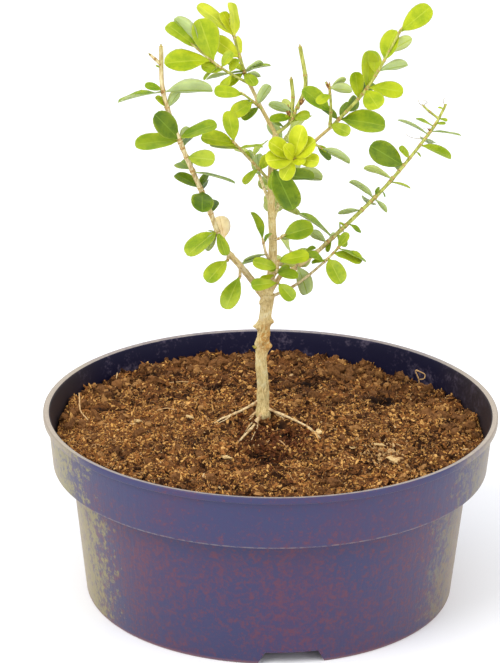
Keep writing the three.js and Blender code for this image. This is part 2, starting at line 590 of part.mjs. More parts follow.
function growFlush(rule, curve, fits) {
  const grown = [];
  for (let node = 0; node < rule.pairs; node += 1) {
    const share = rule.pairs > 1 ? node / (rule.pairs - 1) : 1;
    const at = rooted(between(rule.at, share), curve);
    const along = curve.getTangentAt(at);
    for (let side = 0; side < rule.sides; side += 1) {
      const draw = seededDraw(rule.seed * 100 + node * 2 + side);
      const stray = (reach) => (draw() - 0.5) * 2 * reach;
      const turn = rule.roll + rule.spin * node + 180 * side + stray(TURN_STRAY);
      const open = between(rule.open, share) + stray(OPEN_STRAY);
      const size = between(rule.leaf, share) * (1 + stray(SIZE_STRAY));
      const age = between(rule.age, share) + stray(AGE_STRAY);
      const twist = stray(TWIST_STRAY);
      if (draw() < rule.keep) {
        const poses = CROWDED_TURNS.map((extra) => grownPose(along, turn + extra, open, rule.facing, twist));
        grown.push(...fittingLeaf({ root: curve.getPointAt(at), size, age }, poses, fits));
      }
    }
  }
  return grown;
}

// Assembly

const plant = new THREE.Group();
plant.name = 'potted_boxwood';

const solids = new Map(); // every piece so far, by name
const swollen = []; // the limbs so far, each with its clear space

function addNode(name, solid, color, roughness) {
  const mesh = solid.getMesh();
  const geometry = new THREE.BufferGeometry();
  geometry.setAttribute('position', new THREE.BufferAttribute(new Float32Array(mesh.vertProperties), 3));
  geometry.setIndex(new THREE.BufferAttribute(new Uint32Array(mesh.triVerts), 1));
  geometry.computeVertexNormals();
  const node = new THREE.Mesh(geometry, new THREE.MeshStandardMaterial({ color, roughness, metalness: 0 }));
  node.name = name;
  plant.add(node);
  solids.set(name, solid);
}

// A piece cut clear of every limb so far
function seated(solid) {
  return largestBody(swollen.reduce((rest, neighbour) => rest.subtract(neighbour), solid));
}

function addLimb(name, curve, radiusAt, sides, rings, colour) {
  addNode(name, seated(limb(curve, radiusAt, sides, rings)), colour, MATT);
  swollen.push(limb(curve, radiusAt, sides, rings, GAP));
}

addNode('pot', potSolid(), POT_COLOUR, SATIN);
addNode('soil', soilSolid(), SOIL_COLOUR, MATT);

const trunkCurve = courseCurve(TRUNK_COURSE);
addLimb('trunk', trunkCurve, trunkRadius(trunkCurve), TRUNK_SIDES, TRUNK_RINGS, BARK_COLOUR);
for (const { name, course, radius } of BOUGHS) {
  const curve = courseCurve(course);
  addLimb(name, curve, tapering(radius), BOUGH_SIDES, ringsFor(curve, BOUGH_STEP), BARK_COLOUR);
}
for (const root of ROOTS) {
  addLimb(root.name, courseCurve(rootCourse(root)), tapering(root.radius), ROOT_SIDES, ROOT_RINGS, ROOT_COLOUR);
}

// Stems stand before any leaf grows, so that every leaf keeps clear of every stem
function stemSolid({ course, thick }) {
  const curve = courseCurve(course);
  return limb(curve, tapering(thick), STEM_SIDES, ringsFor(curve, STEM_STEP));
}

for (const mass of MASSES) {
  const twigs = (mass.twigs ?? []).map(stemSolid);
  solids.set(mass.name, seated(twigs.reduce((stem, twig) => stem.add(twig), stemSolid(mass))));
}

function touches(solid, other) {
  const a = solid.boundingBox();
  const b = other.boundingBox();
  const apart = [0, 1, 2].some((axis) => a.min[axis] > b.max[axis] || b.min[axis] > a.max[axis]);
  return !apart && solid.intersect(other).volume() > 0;
}

function leafColour(dry, grown) {
  if (dry) return DRY_COLOUR;
  const age = grown.reduce((sum, piece) => sum + piece.age, 0) / grown.length;
  return new THREE.Color(FRESH_COLOUR).lerp(new THREE.Color(DARK_COLOUR), age);
}

for (const { name, course, dry, seen = [], flushes = [] } of MASSES) {
  const curve = courseCurve(course);
  const others = [...solids.keys()].filter((other) => other !== name).map((other) => solids.get(other));
  const fits = (solid) => !others.some((other) => touches(solid, other));
  const grown = [
    ...seen.flatMap((leaf) => growSeen(leaf, curve, fits)),
    ...flushes.flatMap((flush) => growFlush({ ...FLUSH, ...flush }, curve, fits)),
  ];
  const solid = grown.reduce((mass, piece) => mass.add(piece.solid), solids.get(name));
  addNode(name, largestBody(solid), leafColour(dry, grown), SATIN);
}

export default plant;
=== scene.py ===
import math

import bpy
import numpy as np
from mathutils import Matrix, Vector, kdtree, noise


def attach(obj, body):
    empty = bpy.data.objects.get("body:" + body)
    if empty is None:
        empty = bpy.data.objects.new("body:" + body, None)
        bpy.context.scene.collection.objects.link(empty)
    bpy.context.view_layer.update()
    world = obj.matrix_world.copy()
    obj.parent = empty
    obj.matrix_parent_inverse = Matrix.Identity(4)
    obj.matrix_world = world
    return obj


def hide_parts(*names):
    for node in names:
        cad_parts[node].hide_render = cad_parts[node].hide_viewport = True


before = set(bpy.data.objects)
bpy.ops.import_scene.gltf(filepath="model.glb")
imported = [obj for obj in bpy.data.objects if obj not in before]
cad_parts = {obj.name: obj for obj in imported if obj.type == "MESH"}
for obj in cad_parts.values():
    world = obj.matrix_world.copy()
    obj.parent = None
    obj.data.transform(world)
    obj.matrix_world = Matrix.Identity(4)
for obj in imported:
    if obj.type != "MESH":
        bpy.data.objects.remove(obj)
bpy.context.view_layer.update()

# Pot: a shallow round training pot, injection-moulded in marbled indigo plastic.
# It has a stepped rim band, a lip that falls a little to the inside and a raised floor, and notches in its
# foot ring let water out.
MM = 0.001
POT_SIDES = 256
POT_HEIGHT = 97
WALL = 2.5
LIP_RADIUS = 115
LIP_DEPTH = 3.2
LIP_WIDTH = 3.4
LIP_FALL = 0.6
BAND_TOP_RADIUS = 112.6
BAND_FOOT_RADIUS = 110.3
BAND_FOOT = 69
BODY_TOP_RADIUS = 101.2
BODY_FOOT_RADIUS = 94.2
FOOT_RING_HEIGHT = 6
FOOT_RING_WIDTH = 3.4
FOOT_CHAMFER_WIDTH = 0.5
FOOT_CHAMFER_HEIGHT = 1.2
FLOOR_DISC = 60
FLOOR = FOOT_RING_HEIGHT + WALL
LEDGE = BAND_FOOT + WALL
LIP_FOOT = POT_HEIGHT - LIP_DEPTH
POT_PROFILE = [
    (FLOOR_DISC, FOOT_RING_HEIGHT),
    (BODY_FOOT_RADIUS - FOOT_RING_WIDTH, FOOT_RING_HEIGHT),
    (BODY_FOOT_RADIUS - FOOT_RING_WIDTH, 0),
    (BODY_FOOT_RADIUS - FOOT_CHAMFER_WIDTH, 0),
    (BODY_FOOT_RADIUS, FOOT_CHAMFER_HEIGHT),
    (BODY_TOP_RADIUS, BAND_FOOT),
    (BAND_FOOT_RADIUS, BAND_FOOT),
    (BAND_TOP_RADIUS, LIP_FOOT),
    (LIP_RADIUS, LIP_FOOT),
    (LIP_RADIUS, POT_HEIGHT),
    (LIP_RADIUS - LIP_WIDTH / 2, POT_HEIGHT),
    (LIP_RADIUS - LIP_WIDTH, POT_HEIGHT - LIP_FALL),
    (BAND_TOP_RADIUS - WALL, LIP_FOOT - LIP_DEPTH),
    (BAND_FOOT_RADIUS - WALL, LEDGE),
    (BODY_TOP_RADIUS - WALL, LEDGE),
    (BODY_FOOT_RADIUS - WALL, FLOOR),
    (FLOOR_DISC, FLOOR),
]
POT_EDGE_ROUND = 0.6
ROUNDED_ANGLE = 35
CREASE_ANGLE = 32
LINING_FACING = -0.35
NOTCH_COUNT = 3
NOTCH_TURN = 6.6
NOTCH_FOOT_WIDTH = 33
NOTCH_TOP_WIDTH = 26
NOTCH_HEIGHT = 6.6
NOTCH_OVERCUT = 5


def srgb(red, green, blue):
    """A colour as it is seen, from 0 to 255, as the linear colour that a shader takes."""
    shares = [value / 255 for value in (red, green, blue)]
    return tuple(s / 12.92 if s <= 0.04045 else ((s + 0.055) / 1.055) ** 2.4 for s in shares) + (1.0,)


class Shade:
    """One value in a finish. Sums and products of shades and numbers add Math nodes."""

    def __init__(self, finish, socket):
        self.finish = finish
        self.socket = socket

    def maths(self, operation, first, second=0.0):
        return self.finish.node("ShaderNodeMath", {"operation": operation}, {0: first, 1: second})

    def __add__(self, other):
        return self.maths("ADD", self, other)

    def __sub__(self, other):
        return self.maths("SUBTRACT", self, other)

    def __rsub__(self, other):
        return self.maths("SUBTRACT", other, self)

    def __mul__(self, other):
        return self.maths("MULTIPLY", self, other)

    def __truediv__(self, other):
        return self.maths("DIVIDE", self, other)

    def __abs__(self):
        return self.maths("ABSOLUTE", self)

    __radd__ = __add__
    __rmul__ = __mul__

    def between(self, low, high):
        """0 below low, 1 above high and a smooth rise between them. It falls where low is above high."""
        settings = {"interpolation_type": "SMOOTHSTEP"}
        rising = low < high
        ends = {1: min(low, high), 2: max(low, high), 3: 0.0 if rising else 1.0, 4: 1.0 if rising else 0.0}
        return self.finish.node("ShaderNodeMapRange", settings, {0: self, **ends})


class Finish:
    """A material on one Principled shader. Its constants are set on the shader's own sockets."""

    def __init__(self, name, constants):
        self.material = bpy.data.materials.new(name)
        self.material.use_nodes = True
        self.tree = self.material.node_tree
        self.shader = self.tree.nodes["Principled BSDF"]
        for socket, value in constants.items():
            self.shader.inputs[socket].default_value = value

    def node(self, kind, settings, inputs, output=0):
        """Adds a node: its settings first, then the values or links of its sockets."""
        node = self.tree.nodes.new(kind)
        for name, value in settings.items():
            setattr(node, name, value)
        for socket, value in inputs.items():
            self.feed(node.inputs[socket], value)
        return Shade(self, node.outputs[output])

    def feed(self, socket, value):
        if isinstance(value, Shade):
            self.tree.links.new(value.socket, socket)
        else:
            socket.default_value = value

    def place(self):
        return self.node("ShaderNodeTexCoord", {}, {}, "Object")

    def axis(self, place, name):
        """How far a place lies along one axis, in millimetres."""
        return self.node("ShaderNodeSeparateXYZ", {}, {0: place}, name) / MM

    def noise(self, place, size, detail=3.0, rough=0.55, stretch=(1, 1, 1)):
        """A noise with features of a size in millimetres, stretched along the axes."""
        scale = tuple(1 / (size * MM * times) for times in stretch)
        mapped = self.node("ShaderNodeMapping", {}, {"Vector": place, "Scale": scale})
        inputs = {"Vector": mapped, "Scale": 1.0, "Detail": detail, "Roughness": rough}
        return self.node("ShaderNodeTexNoise", {}, inputs, "Fac")

    def blend(self, first, second, share):
        settings = {"data_type": "RGBA", "clamp_factor": True}
        return self.node("ShaderNodeMix", settings, {0: share, 6: first, 7: second}, 2)

    def coats(self, colour, coats):
        """A colour with others laid over it in turn, each by its share."""
        for coat, share in coats:
            colour = self.blend(colour, coat, share)
        return colour

    def bump(self, height, depth):
        """A relief of a depth in millimetres."""
        inputs = {"Strength": 1.0, "Distance": depth * MM, "Height": height}
        return self.node("ShaderNodeBump", {}, inputs)

    def wear(self, **shades):
        """Feeds the shader's varying sockets: Base_Color, Roughness or Normal."""
        for words, shade in shades.items():
            self.feed(self.shader.inputs[words.replace("_", " ")], shade)


def finished(piece, slot, *nodes):
    """The piece stands for its nodes, which are hidden, and moves with the pot. Its slot is not used."""
    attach(piece, "root")
    if nodes:
        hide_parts(*nodes)


def apply_modifier(piece, kind, **settings):
    bpy.ops.object.select_all(action="DESELECT")
    bpy.context.view_layer.objects.active = piece
    piece.select_set(True)
    modifier = piece.modifiers.new(kind.title(), kind)
    for name, value in settings.items():
        setattr(modifier, name, value)
    bpy.ops.object.modifier_apply(modifier=modifier.name)


def turned_vessel(name, profile, sides):
    """A ring of edges, drawn out from ring to ring along the profile and closed at both ends."""
    radius, height = profile[0]
    bpy.ops.object.select_all(action="DESELECT")
    bpy.ops.mesh.primitive_circle_add(vertices=sides, radius=radius * MM, location=(0, 0, height * MM))
    piece = bpy.context.object
    piece.name = name
    bpy.ops.object.transform_apply(location=True)
    bpy.ops.object.mode_set(mode="EDIT")
    bpy.ops.mesh.select_mode(type="EDGE")
    bpy.ops.mesh.select_all(action="SELECT")
    for next_radius, next_height in profile[1:]:
        rise = (0, 0, (next_height - height) * MM)
        bpy.ops.mesh.extrude_region_move(TRANSFORM_OT_translate={"value": rise})
        grow = next_radius / radius
        bpy.ops.transform.resize(value=(grow, grow, 1), center_override=(0, 0, 0))
        radius, height = next_radius, next_height
    bpy.ops.mesh.select_all(action="DESELECT")
    bpy.ops.mesh.select_non_manifold()
    bpy.ops.mesh.fill_holes(sides=sides)
    bpy.ops.mesh.select_all(action="SELECT")
    bpy.ops.mesh.normals_make_consistent(inside=False)
    bpy.ops.object.mode_set(mode="OBJECT")
    return piece


def cut_notch(piece, turn):
    """Cuts one drainage notch, wider at the foot, through the foot ring."""
    slope = (NOTCH_FOOT_WIDTH - NOTCH_TOP_WIDTH) / NOTCH_HEIGHT
    foot_width = NOTCH_FOOT_WIDTH + slope * NOTCH_OVERCUT
    depth = FOOT_RING_WIDTH + 2 * NOTCH_OVERCUT
    middle = BODY_FOOT_RADIUS - FOOT_RING_WIDTH / 2
    bpy.ops.object.select_all(action="DESELECT")
    bpy.ops.mesh.primitive_cube_add(size=1)
    cutter = bpy.context.object
    tall = NOTCH_HEIGHT + NOTCH_OVERCUT
    for vertex in cutter.data.vertices:
        width = NOTCH_TOP_WIDTH if vertex.co.z > 0 else foot_width
        vertex.co.x *= width * MM
        vertex.co.y = (vertex.co.y * depth - middle) * MM
        vertex.co.z = ((vertex.co.z + 0.5) * tall - NOTCH_OVERCUT) * MM
    cutter.data.transform(Matrix.Rotation(math.radians(turn), 4, "Z"))
    apply_modifier(piece, "BOOLEAN", operation="DIFFERENCE", solver="EXACT", object=cutter)
    bpy.data.objects.remove(cutter)


pot = turned_vessel("pot_shell", POT_PROFILE, POT_SIDES)
apply_modifier(pot, "BEVEL", width=POT_EDGE_ROUND * MM, segments=4, limit_method="ANGLE",
               angle_limit=math.radians(ROUNDED_ANGLE))
for number in range(NOTCH_COUNT):
    cut_notch(pot, NOTCH_TURN + 360 / NOTCH_COUNT * number)
bpy.ops.object.shade_smooth_by_angle(angle=math.radians(CREASE_ANGLE))

plastic = Finish("marbled indigo plastic", {
    "IOR": 1.46,
    "Sheen Weight": 0.2,
    "Sheen Roughness": 0.4,
    "Sheen Tint": srgb(222, 206, 160),
})
spot = plastic.place()
across = plastic.axis(spot, "X")
forward = plastic.axis(spot, "Y")
height = plastic.axis(spot, "Z")
out = plastic.node("ShaderNodeVectorMath", {"operation": "LENGTH"}, {
    0: plastic.node("ShaderNodeCombineXYZ", {}, {0: across, 1: forward}),
}, "Value")
flank = abs(across) / out
speckle = plastic.noise(spot, 1.6, detail=4, rough=0.8)
grains = plastic.noise(spot, 2.2, detail=4, rough=0.8)
patch = plastic.noise(spot, 3.6, detail=5, rough=0.8)
blotch = plastic.noise(spot, 5.5, detail=4, rough=0.7)
cloud = plastic.noise(spot, 40, detail=2)
violets = (patch * 0.4 + cloud * 0.6).between(0.4, 0.6)
low_wall = height.between(100, 50)
reds = (speckle * 0.6 + patch * 0.7 + cloud * 0.15 + low_wall * 0.08).between(0.77, 0.91)
blues = plastic.noise(spot, 1.5, detail=4, rough=0.75).between(0.5, 0.66)
# Olive mottling, partly real and partly painted light: it is crowded onto the flanks as a painted reflection
# and is stronger on the left, the side the key light falls on.
olives = (grains * 0.6 + blotch * 0.7 + flank.between(0.6, 0.98) * 0.34).between(0.84, 1.0)
lit_left_side = across.between(60, 20) * 0.45 + 0.55
olives = olives * flank.between(0.45, 0.7) * lit_left_side
# Painted highlight: the lip's outer face is paled on the flanks, where its roll would catch the light.
lip_flank_highlight = height.between(LIP_FOOT - 0.4, LIP_FOOT + 0.3) * flank.between(0.72, 0.99)
scuff = plastic.noise(spot, 3, detail=4, rough=0.7).between(0.35, 0.6)
# The lip's top and the band's foot edge are paled, partly as wear and partly as a painted highlight on the
# lip that grows brighter towards the flanks.
lip_edge = out.between(LIP_RADIUS - 0.4, LIP_RADIUS - 0.9)
lip_edge = lip_edge * height.between(POT_HEIGHT - 1.4, POT_HEIGHT - 0.9)
band_edge = out.between(BAND_FOOT_RADIUS - 1.5, BAND_FOOT_RADIUS - 0.5)
band_edge = band_edge * height.between(BAND_FOOT + 1.1, BAND_FOOT + 0.6)
edge_wear_and_highlight = lip_edge * (0.4 + scuff * 0.25 + flank * 0.35) + band_edge * scuff * 0.3
marbled = plastic.coats(srgb(46, 46, 88), [
    (srgb(58, 43, 82), violets),
    (srgb(98, 44, 58), reds * 0.68),
    (srgb(36, 52, 90), blues * 0.55),
    # Olive mottle, laid where the painted reflection on the flanks and the lit left side fall.
    (srgb(140, 132, 76), olives * 0.7),
    # Painted reflection: the flanks are paled beige as if they mirrored the white surroundings.
    (srgb(144, 126, 116), flank.between(0.9, 1.0) * 0.4),
    # Painted highlight on the lip's outer face at the flanks.
    (srgb(150, 137, 124), lip_flank_highlight * 0.8),
    # Wear on the edges, with a painted highlight along the lip's top.
    (srgb(176, 164, 150), edge_wear_and_highlight * 0.8),
    # Painted reflected light: a reddish glow along the foot, as if lit from the floor.
    (srgb(126, 82, 86), height.between(2.2, 0.8) * 0.6),
])
peel = plastic.noise(spot, 1.1, detail=2)
streak = plastic.noise(spot, 2.4, detail=2, stretch=(1, 1, 30))
plastic.wear(
    Base_Color=marbled,
    Roughness=0.42 + blotch * 0.12 + edge_wear_and_highlight * 0.15,
    Normal=plastic.bump(peel * 0.5 + streak, 0.1),
)
lining = Finish("dark pot lining", {"IOR": 1.46, "Specular IOR Level": 0.14})
spot = lining.place()
# Pale lilac smears on the lining: partly dust and partly painted reflection.
dust_and_reflection = lining.noise(spot, 16, detail=5, rough=0.7) + lining.noise(spot, 1.6, detail=2) * 0.3
dust_and_reflection = dust_and_reflection.between(0.67, 0.9)
muddy = abs(lining.axis(spot, "X")).between(85, 110)
lining.wear(
    Base_Color=lining.coats(srgb(19, 17, 43), [
        (srgb(52, 42, 36), muddy * 0.7),
        (srgb(118, 106, 124), dust_and_reflection * (0.5 - muddy * 0.3)),
    ]),
    Roughness=0.5 + dust_and_reflection * 0.25,
)
pot.data.materials.append(plastic.material)
pot.data.materials.append(lining.material)
for polygon in pot.data.polygons:
    outwards = Vector((polygon.center.x, polygon.center.y, 0)).normalized()
    facing_in = polygon.normal.dot(outwards) < LINING_FACING
    polygon.material_index = int(facing_in and polygon.center.z > FLOOR * MM)
finished(pot, "pot", "pot")

# Peat: moist brown peat, filled to a finger's width below the lip and mounded to the trunk.
# Its skin is lumpy, with pits that dip and are painted dark as shade, and crumbs and clods of all browns lie
# on it, with pale chips of straw and bits of root fibre. More crumbs are heaped round the trunk's foot. Dark
# crumbs gather in the pits, in the hollows between the lumps and at the back under the wall as painted shade,
# and light ones crowd the lumps as painted light.
SOIL_EDGE = 84
SOIL_MOUND = 90
MOUND_FLAT = 16
TRUNK_GAP = 0.3
LUMP_HEIGHT = 1.1
LUMP_LENGTH = 11
TRUNK_FOOT = (-4, 5)
SOIL_RADIUS = 108.6
SOIL_STEP = 0.8
SOIL_FOOT = 73
SOIL_OCTAVES = [(24, 1.6), (10, 1.7), (4.6, 1.35), (2.2, 0.7), (1.2, 0.35)]
PRESSED_ACROSS = (10, 60)
PRESSED_AHEAD = (10, 50)
PRESSED_FLAT = 0.5
WALL_CLODS_RING = (72, 104)
WALL_CLODS_BACK = (-10, 60)
WALL_CLODS_RISE = 0.8
WALL_CLODS_HEIGHT = 4.2
BACK_TILT = 3.5
BACK_TILT_LEFT = 0.4
TILT_LEFT = (20, 90)
TILT_RIGHT = (20, 85)
TILT_BACK = (0, 60)
COARSE_LUMPS = (10, 10)
FINE_LUMPS = (4.6, 4.6)
FINE_LUMP_SHARE = 0.8
LUMP_CONTRAST = 2.2
COARSE_CLODS = (13, 40)
FINE_CLODS = (6, 50)
FINE_CLOD_SHARE = 0.7
# The back, under the wall, gets fewer light crumbs as painted shade.
SHADED_BACK = (25, 75)
PITS = [
    (8, -16, 6, 8),
    (-3, -42, 8, 7),
    (1, -5, 7, 6),
    (59, 42, 9, 8),
    (20, 59, 10, 7),
    (-29, 52, 5, 5),
    (-83, 20, 10, 4),
]
PIT_DEPTH = 6
PIT_EVEN = 0.8
PIT_LUMPS = (5, 60)


def lerp(ends, share):
    return ends[0] + (ends[1] - ends[0]) * share


def even_share(values, low, high):
    return np.clip((values - low) / (high - low), 0, 1)


def smooth_share(value, low, high):
    share = min(max((value - low) / (high - low), 0), 1)
    return share * share * (3 - 2 * share)


def mound_height(x, y):
    """The peat's even height, in millimetres: mounded to the trunk, rippled and lower at the wall."""
    fall = smooth_share(math.hypot(x - TRUNK_FOOT[0], y - TRUNK_FOOT[1]), MOUND_FLAT, LIP_RADIUS)
    ripple = math.sin(x / LUMP_LENGTH + 1) * math.cos(y / LUMP_LENGTH)
    swell = math.sin((x - y) / LUMP_LENGTH / 2)
    return lerp((SOIL_MOUND - TRUNK_GAP, SOIL_EDGE), fall) + LUMP_HEIGHT * (ripple + swell) * fall


def pit_share(x, y):
    """How far a place lies in one of the dark pits, from 0 to 1."""
    share = 0
    for aside, ahead, wide, deep in PITS:
        share = share + np.exp(-((x - aside) / wide) ** 2 - ((y - ahead) / deep) ** 2)
    return np.minimum(share, 1)


def pressed_share(x, y):
    """How far a place lies in the dry pressed patch on the left, from 0 to 1."""
    return even_share(-x, *PRESSED_ACROSS) * (1 - even_share(np.abs(y), *PRESSED_AHEAD))


def lumpy(x, y, length, layer):
    return noise.noise((x / length, y / length, layer))


def lump_share(x, y):
    """How far a place lies on a lump, up to 1, or in a hollow between the lumps, down to -1."""
    lumps = lumpy(x, y, *COARSE_LUMPS) + FINE_LUMP_SHARE * lumpy(x, y, *FINE_LUMPS)
    return min(max(LUMP_CONTRAST * lumps, -1), 1)


def peat_height(x, y):
    """The peat's lumpy height: pressed flat on the left, with clods along the back wall, lower at the back
    right, and with pits."""
    height = mound_height(x, y)
    pressed = smooth_share(-x, *PRESSED_ACROSS) * (1 - smooth_share(abs(y), *PRESSED_AHEAD))
    for length, amount in SOIL_OCTAVES:
        height += amount * (1 - PRESSED_FLAT * pressed) * lumpy(x, y, length, length)
    back = smooth_share(math.hypot(x, y), *WALL_CLODS_RING) * smooth_share(y, *WALL_CLODS_BACK)
    clods = lumpy(x, y, *COARSE_CLODS) + FINE_CLOD_SHARE * lumpy(x, y, *FINE_CLODS)
    height += back * (WALL_CLODS_RISE + WALL_CLODS_HEIGHT * clods)
    tilt = BACK_TILT_LEFT * smooth_share(-x, *TILT_LEFT) - smooth_share(x, *TILT_RIGHT)
    height += BACK_TILT * tilt * smooth_share(y, *TILT_BACK)
    return height - PIT_DEPTH * pit_share(x, y) * (PIT_EVEN + lumpy(x, y, *PIT_LUMPS))


bpy.ops.object.select_all(action="DESELECT")
soil_cells = int(2 * SOIL_RADIUS / SOIL_STEP)
bpy.ops.mesh.primitive_grid_add(x_subdivisions=soil_cells, y_subdivisions=soil_cells,
                                size=2 * SOIL_RADIUS * MM)
peat = bpy.context.object
peat.name = "peat_bed"
bpy.ops.object.mode_set(mode="EDIT")
bpy.ops.mesh.select_mode(type="VERT")
bpy.ops.mesh.select_all(action="DESELECT")
bpy.ops.object.mode_set(mode="OBJECT")
for vertex in peat.data.vertices:
    vertex.select = vertex.co.xy.length > SOIL_RADIUS * MM
bpy.ops.object.mode_set(mode="EDIT")
bpy.ops.mesh.delete(type="VERT")
bpy.ops.object.mode_set(mode="OBJECT")
for vertex in peat.data.vertices:
    vertex.co.z = peat_height(vertex.co.x / MM, vertex.co.y / MM) * MM
bpy.ops.object.mode_set(mode="EDIT")
bpy.ops.mesh.select_mode(type="EDGE")
bpy.ops.mesh.select_all(action="DESELECT")
bpy.ops.mesh.select_non_manifold()
bpy.ops.mesh.extrude_region_move()
bpy.ops.transform.resize(value=(1, 1, 0), center_override=(0, 0, SOIL_FOOT * MM))
bpy.ops.mesh.select_all(action="DESELECT")
bpy.ops.mesh.select_non_manifold()
bpy.ops.mesh.edge_face_add()
bpy.ops.mesh.select_all(action="SELECT")
bpy.ops.mesh.normals_make_consistent(inside=False)
bpy.ops.object.mode_set(mode="OBJECT")


def peat_finish(name, dark, light, pit_shade_colour=None):
    finish = Finish(name, {"Roughness": 0.92, "Specular IOR Level": 0.15})
    spot = finish.place()
    crumb = finish.noise(spot, 1.4, detail=4, rough=0.7)
    patch = finish.noise(spot, 18, detail=2)
    shade = (crumb + patch * 0.5).between(0.52, 0.95)
    coats = [(light, shade)]
    # The pits are painted darker as shade over the peat's own tone.
    for aside, ahead, wide, deep in PITS if pit_shade_colour else []:
        across = (finish.axis(spot, "X") - aside) / wide
        along = (finish.axis(spot, "Y") - ahead) / deep
        coats.append((pit_shade_colour, (across * across + along * along).between(1.8, 0.3)))
    finish.wear(Base_Color=finish.coats(dark, coats), Normal=finish.bump(crumb, 0.5))
    return finish.material


peat.data.materials.append(peat_finish("peat", srgb(40, 22, 10), srgb(120, 75, 38), srgb(24, 10, 4)))
finished(peat, "peat", "soil")

CRUMB_SEED = 7
# The last column gives how much each kind shuns the pits, the shaded back, the pressed patch, the hollows and
# the lumps.
CRUMB_KINDS = [
    ("crumbs_dark", 7800, (0.35, 1.3), srgb(30, 16, 7), srgb(70, 40, 18), (0, 0, 0.9, 0, 0.8)),
    ("crumbs_brown", 8600, (0.32, 1.2), srgb(108, 67, 31), srgb(166, 110, 57), (0.7, 0.3, 0, 0.35, 0)),
    ("crumbs_tan", 8200, (0.3, 1.0), srgb(164, 117, 62), srgb(228, 177, 104), (0.95, 0.75, 0, 0.85, 0)),
    ("crumbs_golden", 9700, (0.25, 0.7), srgb(166, 115, 54), srgb(230, 175, 93), (0.95, 0.72, 0, 0.85, 0)),
    ("crumbs_straw", 460, (0.3, 0.85), srgb(188, 146, 92), srgb(230, 196, 144), (1, 0.7, 0, 0.6, 0)),
    ("crumbs_fine", 9800, (0.2, 0.5), srgb(134, 90, 44), srgb(207, 154, 85), (0.95, 0.62, 0, 0.75, 0)),
]
CRUMB_MAKE = dict(divisions=1, roughness=0.5, stretch=((0.55, 0.4, 0.3), (2.3, 1.0, 0.75)))
CRUMB_FINENESS = 2.2
SHADED_DAMP_SPOT = (0, -26)
SHADED_DAMP_REACH = (9, 13)
SHADED_DAMP_CRUMBS = 700
SHADED_DAMP_SIZES = (0.35, 1.85)
CLOD_KINDS = [
    ("clods_brown", 280, (1.3, 3.4), srgb(74, 46, 23), srgb(132, 89, 50)),
    ("clods_tan", 150, (1.1, 2.6), srgb(118, 80, 42), srgb(178, 130, 76)),
]
CLOD_MAKE = dict(divisions=2, roughness=0.2, stretch=((0.7, 0.6, 0.5), (1.4, 1.1, 0.85)))
CLOD_FINENESS = 1.8
CLODS_BACK = 0.6
CLODS_BACK_RING = (80, 104)
CLODS_PIT_LIMIT = 0.2
ROUGHEST = 1.4
LUMP_RISE = (-0.15, 0.5)


def unit_vectors(vectors):
    return vectors / np.linalg.norm(vectors, axis=-1, keepdims=True)


def random_turns(generator, count):
    """Random rotations, as matrices, from random quaternions."""
    w, x, y, z = unit_vectors(generator.normal(size=(count, 4))).T
    rows = [
        [1 - 2 * (y * y + z * z), 2 * (x * y - z * w), 2 * (x * z + y * w)],
        [2 * (x * y + z * w), 1 - 2 * (x * x + z * z), 2 * (y * z - x * w)],
        [2 * (x * z - y * w), 2 * (y * z + x * w), 1 - 2 * (x * x + y * y)],
    ]
    return np.array(rows).transpose(2, 0, 1)


def joined_mesh(name, points, triangles, slots=None):
    """One mesh from arrays of points, in millimetres, and triangles with their material slots."""
    mesh = bpy.data.meshes.new(name)
    mesh.from_pydata((points * MM).tolist(), [], triangles.tolist())
    if slots is not None:
        mesh.polygons.foreach_set("material_index", np.asarray(slots, dtype=np.int32))
    piece = bpy.data.objects.new(name, mesh)
    bpy.context.scene.collection.objects.link(piece)
    return piece


def ball_shape(subdivisions):
    """A ball of triangles, as points and triangles."""
    bpy.ops.object.select_all(action="DESELECT")
    bpy.ops.mesh.primitive_ico_sphere_add(subdivisions=subdivisions, radius=1)
    ball = bpy.context.object
    points = np.array([vertex.co for vertex in ball.data.vertices])
    triangles = np.array([polygon.vertices for polygon in ball.data.polygons])
    bpy.data.objects.remove(ball)
    return points, triangles


def ring_places(spot, reach, turn):
    """Places at a reach and a turn from a spot, as a row of x and a row of y."""
    return np.array((spot[0] + reach * np.cos(turn), spot[1] + reach * np.sin(turn)))


def patch_places(spot, reach, count):
    """Places that gather about a spot, fewer further out."""
    return crumb_random.normal(size=(2, count)) * np.array(reach)[:, None] + np.array(spot)[:, None]


def random_sizes(sizes, count, fineness):
    """Sizes between two ends, with more small ones the higher the fineness."""
    return lerp(sizes, crumb_random.uniform(0, 1, count) ** fineness)


def scatter(name, places, size, dark, light, divisions, roughness, stretch):
    """Rough lumps of peat, each turned and shaped at random, half sunk where they lie."""
    points, triangles = ball_shape(divisions)
    count = len(size)
    x, y = places * np.minimum(1, (SOIL_RADIUS - size) / np.hypot(*places))
    ground = np.array([peat_height(*place) for place in zip(x, y)])
    centre = np.stack([x, y, ground + size * crumb_random.uniform(*LUMP_RISE, count)], axis=1)
    rough = crumb_random.normal(size=(count, len(points), 1)).clip(-ROUGHEST, ROUGHEST)
    shape = points * (1 + roughness * rough)
    shape = shape * crumb_random.uniform(*stretch, (count, 3))[:, None, :]
    shape = np.einsum("nij,nkj->nki", random_turns(crumb_random, count), shape) * size[:, None, None]
    corners = (shape + centre[:, None, :]).reshape(-1, 3)
    starts = np.arange(count)[:, None, None] * len(points)
    lumps = joined_mesh(name, corners, (triangles[None] + starts).reshape(-1, 3))
    lumps.data.materials.append(peat_finish(name.replace("_", " "), dark, light))
    finished(lumps, "peat")


